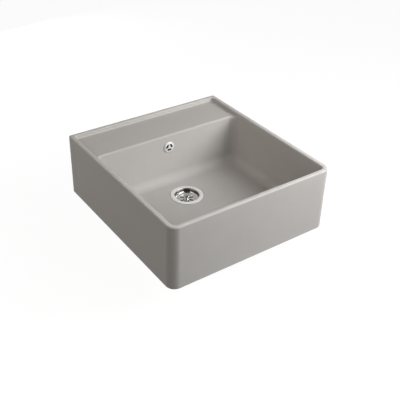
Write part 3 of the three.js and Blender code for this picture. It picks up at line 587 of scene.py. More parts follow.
def plated(name, colour, smoothest, roughest, has_neck=False):
    """Chromium plate, rougher where fingers left smudges, and bare brass painted dark as shade in a
    neck, if any.
    """
    material, tree = empty_material(name)
    place = add_node(tree, "TexCoord")["Object"]
    tint = None
    if has_neck:
        tint = add_node(
            tree, "Mix", {"Factor": bare_and_shaded_neck(tree, place)}, {"A": srgb(colour), "B": BARE_BRASS_AND_SHADE},
            {"data_type": "RGBA"},
        )["Result"]
    surface = add_node(
        tree, "BsdfPrincipled",
        {"Base Color": tint, "Roughness": smudged(tree, place, smoothest, roughest)},
        {"Base Color": srgb(colour), "Metallic": 1.0},
    )
    add_node(tree, "OutputMaterial", {"Surface": surface[0]})
    return material


# The grille's near-white tint is a painted sheen; the mirror chrome keeps chromium's own grey.
satin_chrome = plated("satin_chrome_plate", "#F4F5F5", 0.66, 0.74, has_neck=True)
mirror_chrome = plated("mirror_chrome_plate", "#C8CACC", 0.05, 0.12)
print("plated finishes:", satin_chrome.name, "and", mirror_chrome.name)

# %% Stainless steel and brass
POLISHING_RING_MM = 7.54
TOOL_RING_MM = 5.03
WAVE_REPEAT = 2 * math.pi / 20  # a Wave texture of scale one repeats at this step
ZONE_FADE = 0.5
# Near-black steel, painted shade: it darkens the cup's belly under the petals and the corner over
# the basket's rim.
PAINTED_SHADE_STEEL = "#45423F"
MOPPED_ZONES = (
    # from this height up, in mm: colour and roughness
    (9.0, "#E6E5E3", 0.16),  # the basket's dish, over the belly's top
    # painted shade: the corner over the basket's rim, drawn as a dark line
    (16.5, PAINTED_SHADE_STEEL, 0.3),  # the corner over the basket's rim
    (20.5, "#D6D5D3", 0.08),  # the throat, as far down as the mop reaches
    # the flange's near-white tint is a painted sheen; its roughness is the brushed satin
    (25.5, "#FAF9F8", 0.78),  # the flange
)


def ringed_metal(name, colour, roughness, ring_mm, depth_mm, zones=()):
    """A metal with rings about the drain's axis, and other tints and roughness above the heights
    given; some tints are painted shade and sheen.
    """
    material, tree = empty_material(name)
    place = add_node(tree, "TexCoord")["Object"]
    height = add_node(tree, "SeparateXYZ", {"Vector": place})["Z"]
    tint, blur = None, smudged(tree, place, 0.8 * roughness, 1.2 * roughness)
    for level, zone_colour, zone_roughness in zones:
        above = add_node(
            tree, "MapRange", {"Value": height},
            {"From Min": (level - ZONE_FADE) * MM, "From Max": level * MM},
        )["Result"]
        tint = add_node(
            tree, "Mix", {"Factor": above, "A": tint}, {"A": srgb(colour), "B": srgb(zone_colour)},
            {"data_type": "RGBA"},
        )["Result"]
        blur = add_node(
            tree, "Mix", {"Factor": above, "A": blur}, {"B": zone_roughness}, {"data_type": "FLOAT"}
        )["Result"]
    from_axis = add_node(tree, "Mapping", {"Vector": place}, {"Location": -DRAIN * MM})["Vector"]
    scale = WAVE_REPEAT / (ring_mm * MM)
    rings = add_node(
        tree, "TexWave", {"Vector": from_axis},
        {"Scale": scale, "Distortion": 1.5, "Detail": 2.0, "Detail Scale": 2.0},
        {"wave_type": "RINGS", "rings_direction": "Z"},
    )["Fac"]
    bumps = add_node(
        tree, "Bump", {"Height": rings}, {"Strength": 0.15, "Distance": depth_mm * MM}
    )["Normal"]
    surface = add_node(
        tree, "BsdfPrincipled", {"Base Color": tint, "Roughness": blur, "Normal": bumps},
        {"Base Color": srgb(colour), "Metallic": 1.0},
    )
    add_node(tree, "OutputMaterial", {"Surface": surface[0]})
    return material


stainless = ringed_metal(
    "mopped_stainless_sheet", PAINTED_SHADE_STEEL, 0.45, POLISHING_RING_MM, 0.01, MOPPED_ZONES
)
turned_steel = ringed_metal("lathe_turned_stainless", "#C9C8C5", 0.25, TOOL_RING_MM, 0.03)
brass = ringed_metal("lathe_turned_brass", "#D1AE6A", 0.27, TOOL_RING_MM, 0.03)
print("ringed metals:", [metal.name for metal in (stainless, turned_steel, brass)])

# %% [markdown]
# ## The strainer's cup
# A disc of stainless sheet is drawn in a press: the flange that lies on the glaze, the straight
# throat, a shoulder that carries the basket, a belly, and the seat for the plug. The section is one
# line along the sheet's upper side. It is spun, and a Solidify modifier then gives the sheet its
# thickness, the same everywhere.

# %% Sheet metal, and rings of tools
SHEET = 1.0


def pressed_curve(start_point, end_point, steps):
    """Points that leave one place level and reach the other upright, as pressed sheet does."""
    (radius, height), (end_radius, end_height) = start_point, end_point
    return [
        (radius + (end_radius - radius) * along, height + (end_height - height) * across)
        for across, along in quarter_round(steps)
    ]


def thicken(piece, thickness_mm):
    """Turns the sheet's drawn side up and gives the sheet its thickness below that side."""
    bpy.ops.object.mode_set(mode="EDIT")
    bpy.ops.mesh.select_all(action="SELECT")
    level = max(piece.data.polygons, key=lambda face: abs(face.normal.z) * face.area)
    if level.normal.z < 0:
        bpy.ops.mesh.flip_normals()
    bpy.ops.object.mode_set(mode="OBJECT")
    apply_modifier(piece, "SOLIDIFY", thickness=thickness_mm * MM, offset=-1, use_even_offset=True)


def ring_of(tool, count, foot=DRAIN, axis=UP, first_turn=0.0):
    """Copies of a piece, each with its own mesh, evenly round an axis, joined into one object."""
    copies = []
    for index in range(count):
        turn = Matrix.Rotation(first_turn + index * 2 * math.pi / count, 4, axis)
        copy = tool.copy()
        copy.data = tool.data.copy()
        move = Matrix.Translation(foot * MM)
        copy.matrix_world = move @ turn @ move.inverted() @ tool.matrix_world
        bpy.context.scene.collection.objects.link(copy)
        copies.append(copy)
    bpy.data.objects.remove(tool)
    select_only(*copies)
    bpy.ops.object.join()
    bpy.ops.object.transform_apply()
    return copies[0]


print("the sheet is", SHEET, "mm thick")

# %% Cup
BELLY_STEPS = 10
CUP_HOLES = 8
CUP_HOLE_CIRCLE = 17.0

cup_section = [(6.3, -27.6), (23, -27.6), (23, -14.6)]
cup_section += pressed_curve((24, -14.6), (38.9, 12.4), BELLY_STEPS)
cup_section += [(39.4, 13.4), (43.4, 13.4), (43.4, 27.4), (52.5, 27.4), (56.5, 26.5)]
last = len(cup_section) - 1
cup_rounds = (((1,), 2.0, 5), ((2,), 0.6, 3), ((last - 4,), 0.4, 3), ((last - 3,), 1.5, 5))
cup_rounds += (((last - 2,), 3.0, 8), ((last - 1,), 3.0, 5))
cup = spun("pressed_cup", cup_section, rounds=cup_rounds, is_sheet=True)
thicken(cup, SHEET)
first_hole = DRAIN + Vector((CUP_HOLE_CIRCLE, 0, 0))
combine(cup, ring_of(spun("cup_hole", rod(3.4, -30, -25), first_hole, steps=24), CUP_HOLES))
seat(cup, "strainer_cup", "sink", stainless)

# %% [markdown]
# ## The basket
# The basket is pressed in the same way, and its edge is turned over to a smooth rim. Its floor is
# punched with six petals round the knob, narrow at the inner end, and its wall with a ring of small
# round holes. A punch rolls the sheet's upper edge over a little, so the petals' tool widens by a
# quarter of a millimetre at the top, and that edge catches the light.

# %% Basket
BASKET_FLOOR = 11.0
WALL_STEPS = 8

upper_side = [(3.3, BASKET_FLOOR)] + pressed_curve((24, BASKET_FLOOR), (37.4, 14.2), WALL_STEPS)
lower_side = pressed_curve((24, BASKET_FLOOR - SHEET), (38.4, 13.2), WALL_STEPS)
rim_section = [(38.4, 15.6), (42.3, 15.6), (42.3, 14.2), (39.4, 14.2)]
basket_section = upper_side + rim_section + lower_side[::-1] + [(3.3, BASKET_FLOOR - SHEET)]
rim_start = len(upper_side)
basket_rounds = (((rim_start, rim_start + 3), 0.5, 4), ((rim_start + 1, rim_start + 2), 0.65, 6))
basket = spun("pressed_basket", basket_section, rounds=basket_rounds)
print("faces of the basket before it is punched:", len(basket.data.polygons))

# %% Petals and wall holes
PETALS = 6
PETAL_START = 9.0
PETAL_END = 25.0
PETAL_WIDE = 9.0
PETAL_NARROW = 4.2
ROLLED_EDGE = 0.25
WALL_HOLES = 20
WALL_HOLE_CIRCLE = 30.0

petal_plan = dict(left=-PETAL_WIDE / 2, right=PETAL_WIDE / 2, front_radius=2.1, rear_radius=4.3)
petal_plan.update(front=DRAIN.y + PETAL_START, rear=DRAIN.y + PETAL_END)
petal_outlines = [{"height": BASKET_FLOOR - 2 * SHEET, **petal_plan}]
petal_outlines += rounded_edge(petal_plan, BASKET_FLOOR, ROLLED_EDGE, OUTWARD, 4)
petal_outlines.append({"height": BASKET_FLOOR + SHEET, **inset_outline(petal_plan, -ROLLED_EDGE)})
petal = bridged_block("petal_punch", petal_outlines)
for vertex in petal.data.vertices:
    share = (vertex.co.y / MM - DRAIN.y - PETAL_START) / (PETAL_END - PETAL_START)
    vertex.co.x *= (PETAL_NARROW + (PETAL_WIDE - PETAL_NARROW) * share) / PETAL_WIDE
combine(basket, ring_of(petal, PETALS, first_turn=math.pi / 2))

turn = math.pi / (2 * WALL_HOLES)
hole_way = Vector((WALL_HOLE_CIRCLE * math.cos(turn), WALL_HOLE_CIRCLE * math.sin(turn), 0))
wall_hole = spun("wall_hole", rod(1.5, 9, 15.6), DRAIN + hole_way, steps=20)
combine(basket, ring_of(wall_hole, WALL_HOLES))
seat(basket, "basket", "basket", stainless)

# %% [markdown]
# ## The knob
# One grips the basket by a small turned knob on a waisted neck. It is drawn as half a section and
# spun, with its edges rounded first, and its crown is slightly domed, so it mirrors the whole room.

# %% Knob
knob_section = [(0, 19.65), (3.3, 19.65), (3.3, 11.3), (6.6, 11.3), (6.6, 12.2)]  # base and socket
knob_section += [(4.6, 13.2), (4.6, 22.0), (10.4, 23.2), (11, 24.4)]  # waist
knob_section += [(11, 26.6), (10, 27.3), (7, 27.75), (3.5, 27.95), (0, 28.0)]  # crown
knob_rounds = (((3, 4), 0.35, 3), ((5,), 1.2, 5), ((6,), 3.0, 8))
knob_rounds += (((7, 8), 0.5, 3), ((9, 10), 0.45, 3))
knob = spun("turned_knob", knob_section, rounds=knob_rounds, steps=64)
seat(knob, "basket_knob", "basket", mirror_chrome)

# %% [markdown]
# ## The overflow
# Behind the three slots lies a threaded neck that runs through the ceramic wall into a moulded
# elbow. The grille is spun from half a section with a slightly domed face. Its slots are cut by one
# tool, a slab with round ends that flares where it meets the face, turned to the three places. The
# thread on the neck is drawn as rings: on a hidden neck nobody can tell rings from a helix.

# %% Overflow cover
COVER_BACK = 227.9
NECK_END = 258.1
NECK_THREAD = 1.8
SLOTS = 3
SLOT_FLARE = 0.7


def threaded(radius, depth, low, high, pitch):
    """Section points of a run of thread crests and roots, from low to high along the axis."""
    turns = max(1, round(abs(high - low) / pitch))
    step = (high - low) / turns
    points = []
    for index in range(turns):
        points.append((radius - depth, low + (index + 0.15) * step))
        points.append((radius, low + (index + 0.65) * step))
    return points


cover_section = [(0, COVER_FACE), (11, COVER_FACE + 0.12), (17.2, COVER_FACE + 0.5)]
cover_section += [(19.5, COVER_FACE + 1.6), (19.5, COVER_BACK), (15, COVER_BACK), (15, 234)]
cover_section += threaded(15, 0.7, 234, NECK_END, NECK_THREAD)
cover_section += [(14.4, NECK_END), (13.4, NECK_END), (13.4, COVER_BACK), (0, COVER_BACK)]
cover_rounds = (((2,), 2.5, 4), ((3,), 0.8, 4), ((4,), 0.3, 2))
cover = spun("overflow_grille", cover_section, OVERFLOW, BACK, cover_rounds)

slot_plan = dict(
    left=-7.9, right=7.9, front=-12.4, rear=-5.6, front_radius=3.35, rear_radius=3.35
)
slot_outlines = [{"height": COVER_FACE - 1.0, **inset_outline(slot_plan, -SLOT_FLARE)}]
slot_outlines += rounded_edge(slot_plan, COVER_FACE, -SLOT_FLARE, OUTWARD, 5)
slot_outlines.append({"height": COVER_BACK + 1.0, **slot_plan})
slot = bridged_block("slot_tool", slot_outlines)
slot.data.transform(Matrix.Translation(OVERFLOW * MM) @ Matrix.Rotation(-math.pi / 2, 4, "X"))
combine(cover, ring_of(slot, SLOTS, OVERFLOW, BACK, first_turn=math.pi))
seat(cover, "overflow_cover", "sink", satin_chrome)

# %% [markdown]
# ## Moulded plastic and rubber
# Elbow, waste and nuts are injection moulded in polypropylene: waxy, a little translucent, with the
# fine spark-eroded texture of the mould. White is used where water runs, grey for what is turned by
# hand. The corrugated hose is blown, thin and glossier. Seals are nitrile rubber, black and dull,
# save the two that show in the bowl, which are clear silicone, so that no dark line shows there.

# %% Plastics and rubbers
CLOUD_MM = 20.0
LIGHT_REACH_MM = 2.0  # how far light spreads below a translucent surface


def moulded(name, colour, shade, roughness, grain_mm, grain_depth_mm, translucent):
    """Polypropylene or rubber: two close shades, and a fine grain from the mould."""
    material, tree = empty_material(name)
    place = add_node(tree, "TexCoord")["Object"]
    clouds, grain = [
        add_node(
            tree, "TexNoise", {"Vector": place}, {"Scale": 1 / (size * MM), "Detail": 2.0}
        )["Fac"]
        for size in (CLOUD_MM, grain_mm)
    ]
    shades = add_node(
        tree, "Mix", {"Factor": clouds}, {"A": srgb(colour), "B": srgb(shade)},
        {"data_type": "RGBA"},
    )["Result"]
    bumps = add_node(
        tree, "Bump", {"Height": grain}, {"Strength": 0.4, "Distance": grain_depth_mm * MM}
    )["Normal"]
    surface = add_node(
        tree, "BsdfPrincipled", {"Base Color": shades, "Normal": bumps},
        {
            "Roughness": roughness,
            "Subsurface Weight": translucent,
            "Subsurface Radius": [LIGHT_REACH_MM * MM] * 3,
            "Subsurface Scale": 1.0,
        },
    )
    add_node(tree, "OutputMaterial", {"Surface": surface[0]})
    return material


white_plastic = moulded("white_polypropylene", "#E4E2DC", "#DAD8D1", 0.42, 0.6, 0.02, 0.15)
grey_plastic = moulded("grey_polypropylene", "#8C8F91", "#828587", 0.45, 0.6, 0.02, 0.0)
hose_plastic = moulded("blown_hose_plastic", "#DEDCD6", "#D2D0C9", 0.3, 1.5, 0.02, 0.2)
black_rubber = moulded("black_nitrile_rubber", "#232323", "#2B2B2A", 0.7, 0.5, 0.03, 0.0)
clear_rubber = moulded("clear_silicone_rubber", "#CFCECA", "#C8C7C2", 0.5, 0.5, 0.02, 0.2)
print("plastics:", [plastic.name for plastic in (white_plastic, grey_plastic, hose_plastic)])
print("rubbers:", black_rubber.name, "and", clear_rubber.name)

# %% [markdown]
# The elbow is one spun shell with a second spun tube joined on, square to it. Both bores are cut
# after the join, so no wall is left standing across the water's way.

# %% Overflow elbow and its seals
ELBOW = 250.1
ELBOW_END = 288.4
SPIGOT_Y = 269.4
SPIGOT_END = 116.0
SPIGOT_THREAD = 2.0
THREADED_RUN = 14.0
HOSE_BORE = 9.2
down_spigot = Vector((0, SPIGOT_Y, 0))

elbow_section = [(0, ELBOW), (25.8, ELBOW), (25.8, ELBOW + 3.4), (19, ELBOW + 3.4)]
elbow_section += [(19, ELBOW_END), (0, ELBOW_END)]
elbow_rounds = (((1, 2), 0.6, 3), ((3,), 2.0, 5), ((4,), 6.5, 8))
elbow = spun("moulded_elbow", elbow_section, OVERFLOW, BACK, elbow_rounds)
spigot_section = [(0, SPIGOT_END), (14.3, SPIGOT_END)]
spigot_section += threaded(15, 0.8, SPIGOT_END, SPIGOT_END + THREADED_RUN, SPIGOT_THREAD)
spigot_section += [(15, OVERFLOW.z), (0, OVERFLOW.z)]
combine(elbow, spun("spigot", spigot_section, down_spigot), "UNION")
bore_section = [(0, ELBOW - 1), (15.3, ELBOW - 1), (15.3, ELBOW_END - 7.4), (0, ELBOW_END - 7.4)]
combine(elbow, spun("bore", bore_section, OVERFLOW, BACK, (((2,), 4.0, 5),)))
drop_section = [(0, SPIGOT_END - 1), (12.3, SPIGOT_END - 1), (12.3, SPIGOT_END + THREADED_RUN)]
drop_section += [(HOSE_BORE, SPIGOT_END + THREADED_RUN), (HOSE_BORE, OVERFLOW.z), (0, OVERFLOW.z)]
combine(elbow, spun("drop", drop_section, down_spigot))
seat(elbow, "overflow_elbow", "sink", white_plastic)


def washer(name, node, inner, outer, low, high, foot=DRAIN, axis=UP, material=black_rubber):
    """A flat ring of rubber with its edges just broken."""
    section = [(inner, low), (outer, low), (outer, high), (inner, high)]
    broken_edge = min(0.25, (high - low) / 4)
    seat(spun(name, section, foot, axis, (((0, 1, 2, 3), broken_edge, 3),)), node, "sink", material)


washer(
    "grille_washer", "overflow_cover_seal", 15.3, 18.5, 228.2, 229.2, OVERFLOW, BACK, clear_rubber
)
washer("elbow_gasket", "overflow_gasket", 16.8, 24.8, 247.8, 249.8, OVERFLOW, BACK)

# %% [markdown]
# Union nuts are gripped by hand, so their outside is fluted. One round cutter, copied sixteen times
# round the axis, makes the flutes and leaves a plain band at the lip.

# %% Union nuts and hose seals
FLUTES = 16
upper_end = Vector((0, SPIGOT_Y, SPIGOT_END))
lower_end = Vector((0, 187.4, -36.0))


def union_nut(name, node, foot, axis):
    """A nut in its own frame: the spigot's end is at 0, and the axis leads out along the hose."""
    section = [(15.3, -13), (19, -13), (19, 5.5), (12.3, 5.5), (12.3, 3.0), (15.3, 3.0)]
    nut = spun(name, section, foot, axis, (((1,), 0.8, 4), ((2,), 2.0, 6), ((3,), 0.5, 3)))
    beside = foot + Vector((19.9, 0, 0))
    flute = spun("flute", rod(1.6, -15, 2.2), beside, axis, (((2,), 1.2, 4),), steps=20)
    combine(nut, ring_of(flute, FLUTES, foot, axis))
    seat(nut, node, "sink", grey_plastic)


union_nut("upper_union_nut", "upper_hose_nut", upper_end, -UP)
union_nut("lower_union_nut", "lower_hose_nut", lower_end, BACK)
washer("upper_union_ring", "upper_hose_seal", 12.3, 15, 0.3, 2.7, upper_end, -UP)
washer("lower_union_ring", "lower_hose_seal", 12.3, 15, 0.3, 2.7, lower_end, BACK)

# %% [markdown]
# ## The corrugated hose
# The hose is blown into a mould, which leaves round ribs over its middle and a plain cuff at each
# end that the union nuts grip. It is spun straight, rib by rib, and a Curve modifier then lays it
# along its route: down behind the bowl, round a quarter circle, and forwards to the waste.

# %% Overflow hose
HOSE_START = Vector((0, SPIGOT_Y, 129.7))
HOSE_BEND = 60.0
HOSE_DOWN = 105.7
HOSE_FORWARD = 35.7
HOSE_RADIUS = 12
HOSE_CUFF = 26.0
RIB_COUNT = 44
BORE_STEPS = 40
hose_length = HOSE_DOWN + HOSE_BEND * math.pi / 2 + HOSE_FORWARD
rib_pitch = (hose_length - 2 * HOSE_CUFF) / RIB_COUNT
# One rib: how far along its pitch, and the radius there.
RIB_SHAPE = ((0.1, 11.2), (0.22, 10.2), (0.4, 10.2), (0.52, 11.2), (0.64, 11.85))
RIB_SHAPE += ((0.81, HOSE_RADIUS), (0.98, 11.85))

hose_section = [(HOSE_BORE, 0), (HOSE_RADIUS, 0), (HOSE_RADIUS, HOSE_CUFF - 1)]
for rib in range(RIB_COUNT):
    rib_start = HOSE_CUFF + rib * rib_pitch
    hose_section += [(radius, rib_start + share * rib_pitch) for share, radius in RIB_SHAPE]
hose_section += [(HOSE_RADIUS, hose_length), (HOSE_BORE, hose_length)]
for step in range(BORE_STEPS - 1, 0, -1):
    hose_section.append((HOSE_BORE, hose_length * step / BORE_STEPS))
hose = spun("corrugated_hose", hose_section, Vector((0, 0, 0)), UP, steps=40)
print("the hose is", round(hose_length, 1), "mm long, with", RIB_COUNT, "ribs")

# %% The hose's route
QUARTER_HANDLE = 0.5523 * HOSE_BEND  # the handle that makes a curve a quarter circle
END_HANDLE = 10.0
bend_start = HOSE_START - UP * HOSE_DOWN
bend_end = bend_start - (UP + BACK) * HOSE_BEND

bpy.ops.curve.primitive_bezier_curve_add()
route = bpy.context.object
spline = route.data.splines[0]
spline.bezier_points.add(2)
stops = (
    (HOSE_START, -UP * END_HANDLE),
    (bend_start, -UP * QUARTER_HANDLE),
    (bend_end, -BACK * QUARTER_HANDLE),
    (bend_end - BACK * HOSE_FORWARD, -BACK * END_HANDLE),
)
for point, (spot, way) in zip(spline.bezier_points, stops):
    point.handle_left_type = point.handle_right_type = "FREE"
    point.co = spot * MM
    point.handle_left = (spot - way) * MM
    point.handle_right = (spot + way) * MM
route.data.dimensions = "3D"
route.data.resolution_u = 64
route.data.twist_mode = "MINIMUM"
bpy.context.view_layer.update()
apply_modifier(hose, "CURVE", object=route, deform_axis="POS_Z")
bpy.data.objects.remove(route)
seat(hose, "overflow_hose", "sink", hose_plastic, 60.0)

# %% [markdown]
# ## The waste
# The waste body is moulded in one: a flange that is pulled up against the ceramic, a chamber under
# the cup, a cone, and the threaded outlet that the trap screws on to. Inside, three webs carry the
# boss of the clamping screw. The parts are spun or blocked out and joined by Booleans, and the
# water's ways are cut last.

# %% Waste body
CHAMBER_FLOOR = -58.6
OUTLET_TOP = -76.6
OUTLET_END = -104.6
WEBS = 3


def slab(name, size, centre):
    """A block with its size and its centre in millimetres, shaped in edit mode."""
    block = start(name, bpy.ops.mesh.primitive_cube_add, size=1)
    bpy.ops.object.mode_set(mode="EDIT")
    bpy.ops.transform.resize(value=[side * MM for side in size])
    bpy.ops.transform.translate(value=[way * MM for way in centre])
    bpy.ops.object.mode_set(mode="OBJECT")
    return block


waste_section = [(0, OUTLET_END), (22.8, OUTLET_END)]
waste_section += threaded(24, 1.1, OUTLET_END, OUTLET_END + 18, 2.3)
cone_start = len(waste_section)
waste_section += [(24, OUTLET_TOP), (46.9, CHAMBER_FLOOR), (46.9, 1.2)]
waste_section += [(60, 1.2), (60, 5.2), (0, 5.2)]
waste_rounds = (((cone_start,), 3.0, 5), ((cone_start + 1,), 6.0, 6))
waste_rounds += (((cone_start + 2,), 2.5, 5), ((cone_start + 3, cone_start + 4), 0.6, 3))
waste = spun("moulded_waste", waste_section, rounds=waste_rounds)
run_foot = Vector((0, DRAIN.y, lower_end.z))
spigot_section = [(0, 45.2), (15, 45.2), (15, 57.9)]
spigot_section += threaded(15, 0.8, 57.9, 57.9 + THREADED_RUN, SPIGOT_THREAD)
spigot_section += [(14.3, 57.9 + THREADED_RUN), (0, 57.9 + THREADED_RUN)]
combine(waste, spun("waste_spigot", spigot_section, run_foot, BACK), "UNION")
print("faces of the waste before it is bored:", len(waste.data.polygons))

# %% The waste's chamber, webs and bores
chamber = [(0, OUTLET_END - 1), (20, OUTLET_END - 1), (20, OUTLET_TOP + 1.75)]
chamber += [(43.4, CHAMBER_FLOOR + 1.75), (43.4, 7), (0, 7)]
combine(waste, spun("chamber", chamber, rounds=(((2,), 3.0, 5), ((3,), 5.0, 6))))
run_section = [(0, 40), (HOSE_BORE, 40), (HOSE_BORE, 57.9), (12.3, 57.9), (12.3, 73), (0, 73)]
combine(waste, spun("spigot_bore", run_section, run_foot, BACK))

boss = spun("boss", rod(13, CHAMBER_FLOOR, -28.9), rounds=(((1, 2), 0.6, 3),))
web = slab("web", (38.65, 3.5, 20), (25.825, DRAIN.y, CHAMBER_FLOOR + 10))
combine(boss, ring_of(web, WEBS, first_turn=math.radians(30)), "UNION")
combine(waste, boss, "UNION")
screw_way = [(0, CHAMBER_FLOOR - 1), (9.8, CHAMBER_FLOOR - 1), (9.8, -44.8)]
screw_way += [(6.6, -44.8), (6.6, -28), (0, -28)]
combine(waste, spun("screw_way", screw_way, steps=48))
seat(waste, "waste_body", "sink", white_plastic)

# %% [markdown]
# The clamping screw goes through the cup's floor into a brass insert, and squeezes cup, ceramic and
# waste together between their two seals. Its head is slotted for a wide screwdriver, and its
# socket takes the plug's stem.

# %% Clamping screw, insert and seals
SCREW_THREAD = 1.75
SOCKET = 3.4

screw_section = [(0, -57.1), (5, -57.1)] + threaded(6, 0.6, -56.6, -32, SCREW_THREAD)
screw_section += [(6, -30), (6, -25.8), (11, -25.8), (11, -21.8)]
screw_section += [(SOCKET, -21.8), (SOCKET, -33.8), (0, -33.8)]
head = screw_section.index((11, -25.8))
screw_rounds = (((head,), 0.4, 3), ((head + 1,), 1.0, 5), ((head + 2,), 0.3, 2))
screw = spun("turned_clamp_screw", screw_section, rounds=screw_rounds, steps=64)
combine(screw, slab("slot_tool", (26, 2.2, 3), (0, DRAIN.y, -21.8)))
seat(screw, "clamp_screw", "sink", turned_steel)

insert_section = [(6.3, -57.1), (9.5, -57.1), (9.5, -53), (8.9, -52.5), (8.9, -50), (9.5, -49.5)]
insert_section += [(9.5, -45.1), (6.3, -45.1)]
insert = spun("brass_insert", insert_section, rounds=(((1, 6), 0.4, 3),), steps=64)
seat(insert, "insert_nut", "sink", brass)

washer("head_washer", "screw_washer", 6.3, 11, -27.3, -26.1)
washer("flange_washer", "flange_seal", 48.5, 55.5, 24.3, 25.5, material=clear_rubber)
washer("clamping_washer", "lower_seal", 46, 60, 5.5, 7.7)

# %% [markdown]
# ## The plug under the basket
# Under the basket hangs the plug: a plastic carrier, a rubber seal with a tapered lip, and a steel
# stem whose O-ring holds the plug up or down in the screw's socket.

# %% Stem, carrier, plug seal and O-ring
stem_section = [(0, -31.6), (2.4, -31.6), (2.4, -28.7), (2.0, -28.7), (2.0, -26.5)]
stem_section += [(2.4, -26.5), (2.4, -19.3), (6, -19.3), (6, -17.9), (3, -17.9)]
stem_section += [(3, 19.35), (0, 19.35)]
stem_rounds = (((1,), 1.0, 4), ((7, 8), 0.35, 3), ((10,), 0.4, 3))
stem = spun("turned_stem", stem_section, rounds=stem_rounds, steps=48)
seat(stem, "basket_stem", "plug", turned_steel)

carrier_section = [(3.3, -11.3), (20, -11.3), (20, -8.3), (7, -8.3), (7, 9.7), (3.3, 9.7)]
carrier_rounds = (((1,), 0.4, 3), ((2,), 1.0, 4), ((3,), 2.0, 5))
carrier = spun("moulded_carrier", carrier_section, rounds=carrier_rounds)
seat(carrier, "seal_carrier", "plug", grey_plastic)

seal_section = [(3.3, -17.6), (21.2, -17.6), (22.7, -15.6), (22.1, -11.6), (3.3, -11.6)]
seal_rounds = (((1,), 0.6, 3), ((2,), 0.9, 5), ((3,), 0.4, 3))
plug = spun("plug_washer", seal_section, rounds=seal_rounds)
seat(plug, "plug_seal", "plug", black_rubber)

ring = dict(major_radius=2.75 * MM, minor_radius=0.55 * MM, location=(DRAIN - UP * 27.6) * MM)
ring.update(major_segments=48, minor_segments=12)
o_ring = start("o_ring", bpy.ops.mesh.primitive_torus_add, **ring)
bpy.ops.object.transform_apply()
seat(o_ring, "stem_ring", "plug", black_rubber)

# %% [markdown]
# ## The studio
# The photograph is a cut-out on white, lit from the front right. The same light comes from a large
# softbox by the camera, two smaller ones over the bowl's right front corner, whose light the right
# wall keeps off the floor beside it, and a warmer fill from the left. A low fill behind the sink
# and a faint lit table below it show its back and its underside. The paper below and the horizon
# count as white wherever the camera, a reflection or a refraction meets them, while the light that
# they throw back on the sink stays plain. High overhead and behind the camera the studio is dark,
# and that dark gives polished metal its contrast.

# %% Lamps
LAMPS = (
    # name, place and aim in metres, width and height in metres, watts, colour
    ("camera_softbox", (0.75, -1.75, 1.35), (0, 0, 0.15), (1.6, 1.2), 22.0, "#FFFFFF"),
    ("right_softbox", (1.25, -0.85, 0.95), (0.1, 0, 0.15), (0.7, 0.7), 15.8, "#FFFFFF"),
    ("upper_softbox", (0.8, -0.9, 1.25), (0.1, 0, 0.15), (0.7, 0.7), 10.7, "#FFFFFF"),
    ("left_fill", (-3.2, 0.1, 2.3), (0, 0, 0.1), (2.0, 2.0), 38.8, "#FFF7EE"),
    ("rear_fill", (-0.3, 2.2, 0.2), (0, 0.3, 0.1), (1.6, 0.5), 21.0, "#FFFFFF"),
    ("light_table", (0, 0, -0.106), (0, 0, 1), (0.55, 0.6), 0.7, "#FFFFFF"),
)
for name, place, aim, size, watts, colour in LAMPS:
    lamp_data = bpy.data.lights.new(name, "AREA")
    lamp_data.shape = "RECTANGLE"
    lamp_data.size, lamp_data.size_y = size
    lamp_data.energy = watts
    lamp_data.color = srgb(colour)[:3]
    lamp = bpy.data.objects.new(name, lamp_data)
    lamp.location = place
    lamp.visible_camera = False
    lamp.rotation_euler = (Vector(aim) - Vector(place)).to_track_quat("-Z", "Y").to_euler()
    bpy.context.scene.collection.objects.link(lamp)
print("lamps:", [row[0] for row in LAMPS])

# %% World
WORLD_FILL = 0.1  # what the surroundings add to matt surfaces
DARK_STUDIO = 0.04  # overhead and opposite the backdrop, for reflections
DARK_RISE = (0.62, 0.85)  # sines of the heights where the dark begins and is full
BACKDROP_SIDE = (0.59, 0.81, 0.0)  # the white backdrop stands behind the sink
BACKDROP_EDGE = (-0.2, 0.1)  # how far round it the white fades in


def seen_rays(tree):
    """One for rays from the camera, a reflection or a refraction, nought for light on matter."""
    path = add_node(tree, "LightPath")
    seen = path["Is Camera Ray"]
    for other in ("Is Transmission Ray", "Is Glossy Ray"):
        seen = add_node(
            tree, "Math", {0: seen, 1: path[other]}, settings={"operation": "MAXIMUM"}
        )[0]
    return seen, path["Is Glossy Ray"]


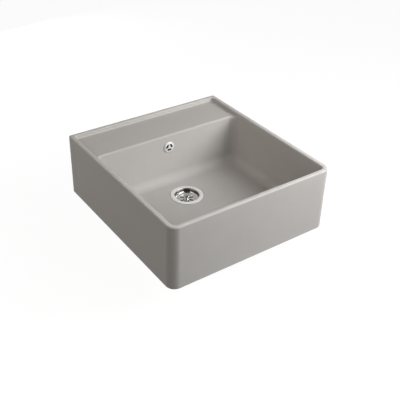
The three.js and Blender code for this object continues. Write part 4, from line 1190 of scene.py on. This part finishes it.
world = bpy.data.worlds.new("studio")
bpy.context.scene.world = world
world.use_nodes = True
tree = world.node_tree
tree.nodes.clear()
seen, mirrored = seen_rays(tree)
direction = add_node(tree, "TexCoord")["Generated"]
rise = add_node(tree, "SeparateXYZ", {"Vector": direction})["Z"]
behind = add_node(
    tree, "VectorMath", {0: direction}, {1: BACKDROP_SIDE}, {"operation": "DOT_PRODUCT"}
)["Value"]
ceiling, backdrop = [
    add_node(
        tree, "MapRange", {"Value": measure},
        {"From Min": low, "From Max": high, "To Min": below, "To Max": above},
    )["Result"]
    for measure, (low, high), below, above in (
        (rise, DARK_RISE, 1.0, DARK_STUDIO),
        (behind, BACKDROP_EDGE, DARK_STUDIO, 1.0),
    )
]
room = add_node(tree, "Math", {0: ceiling, 1: backdrop}, settings={"operation": "MINIMUM"})[0]
strength = room
for share, otherwise in ((mirrored, 1.0), (seen, WORLD_FILL)):
    strength = add_node(
        tree, "Mix", {"Factor": share, "B": strength}, {"A": otherwise}, {"data_type": "FLOAT"}
    )["Result"]
sky = add_node(tree, "Background", {"Strength": strength}, {"Color": (1, 1, 1, 1)})
add_node(tree, "OutputWorld", {"Surface": sky[0]})
print("matt surfaces get", WORLD_FILL, "from the world")

# %% Paper
PAPER_MATT = srgb("#505050")  # what the paper throws back on the sink
PAPER_SEEN = 0.94
PAPER_SHADOW = srgb("#595959")  # how strongly the sink's shadow shows on the paper
PAPER_WIDTH = 30.0  # metres
PAPER_LEVEL = -107.0  # just under the waste's outlet

sheet = dict(size=PAPER_WIDTH, location=UP * PAPER_LEVEL * MM)
paper = start("studio_paper", bpy.ops.mesh.primitive_plane_add, **sheet)
material, tree = empty_material("white_paper")
seen, _ = seen_rays(tree)
matt = add_node(tree, "BsdfDiffuse", sockets={"Color": PAPER_MATT})[0]
shaded = add_node(tree, "BsdfDiffuse", sockets={"Color": PAPER_SHADOW})[0]
glow = add_node(tree, "Emission", sockets={"Strength": PAPER_SEEN})[0]
white = add_node(tree, "AddShader", {0: shaded, 1: glow})[0]
upper = add_node(tree, "MixShader", {0: seen, 1: matt, 2: white})[0]
clear = add_node(tree, "BsdfTransparent")[0]
from_below = add_node(tree, "NewGeometry")["Backfacing"]
surface = add_node(tree, "MixShader", {0: from_below, 1: upper, 2: clear})
add_node(tree, "OutputMaterial", {"Surface": surface[0]})
paper.data.materials.append(material)
print("the paper lies at", PAPER_LEVEL, "mm")
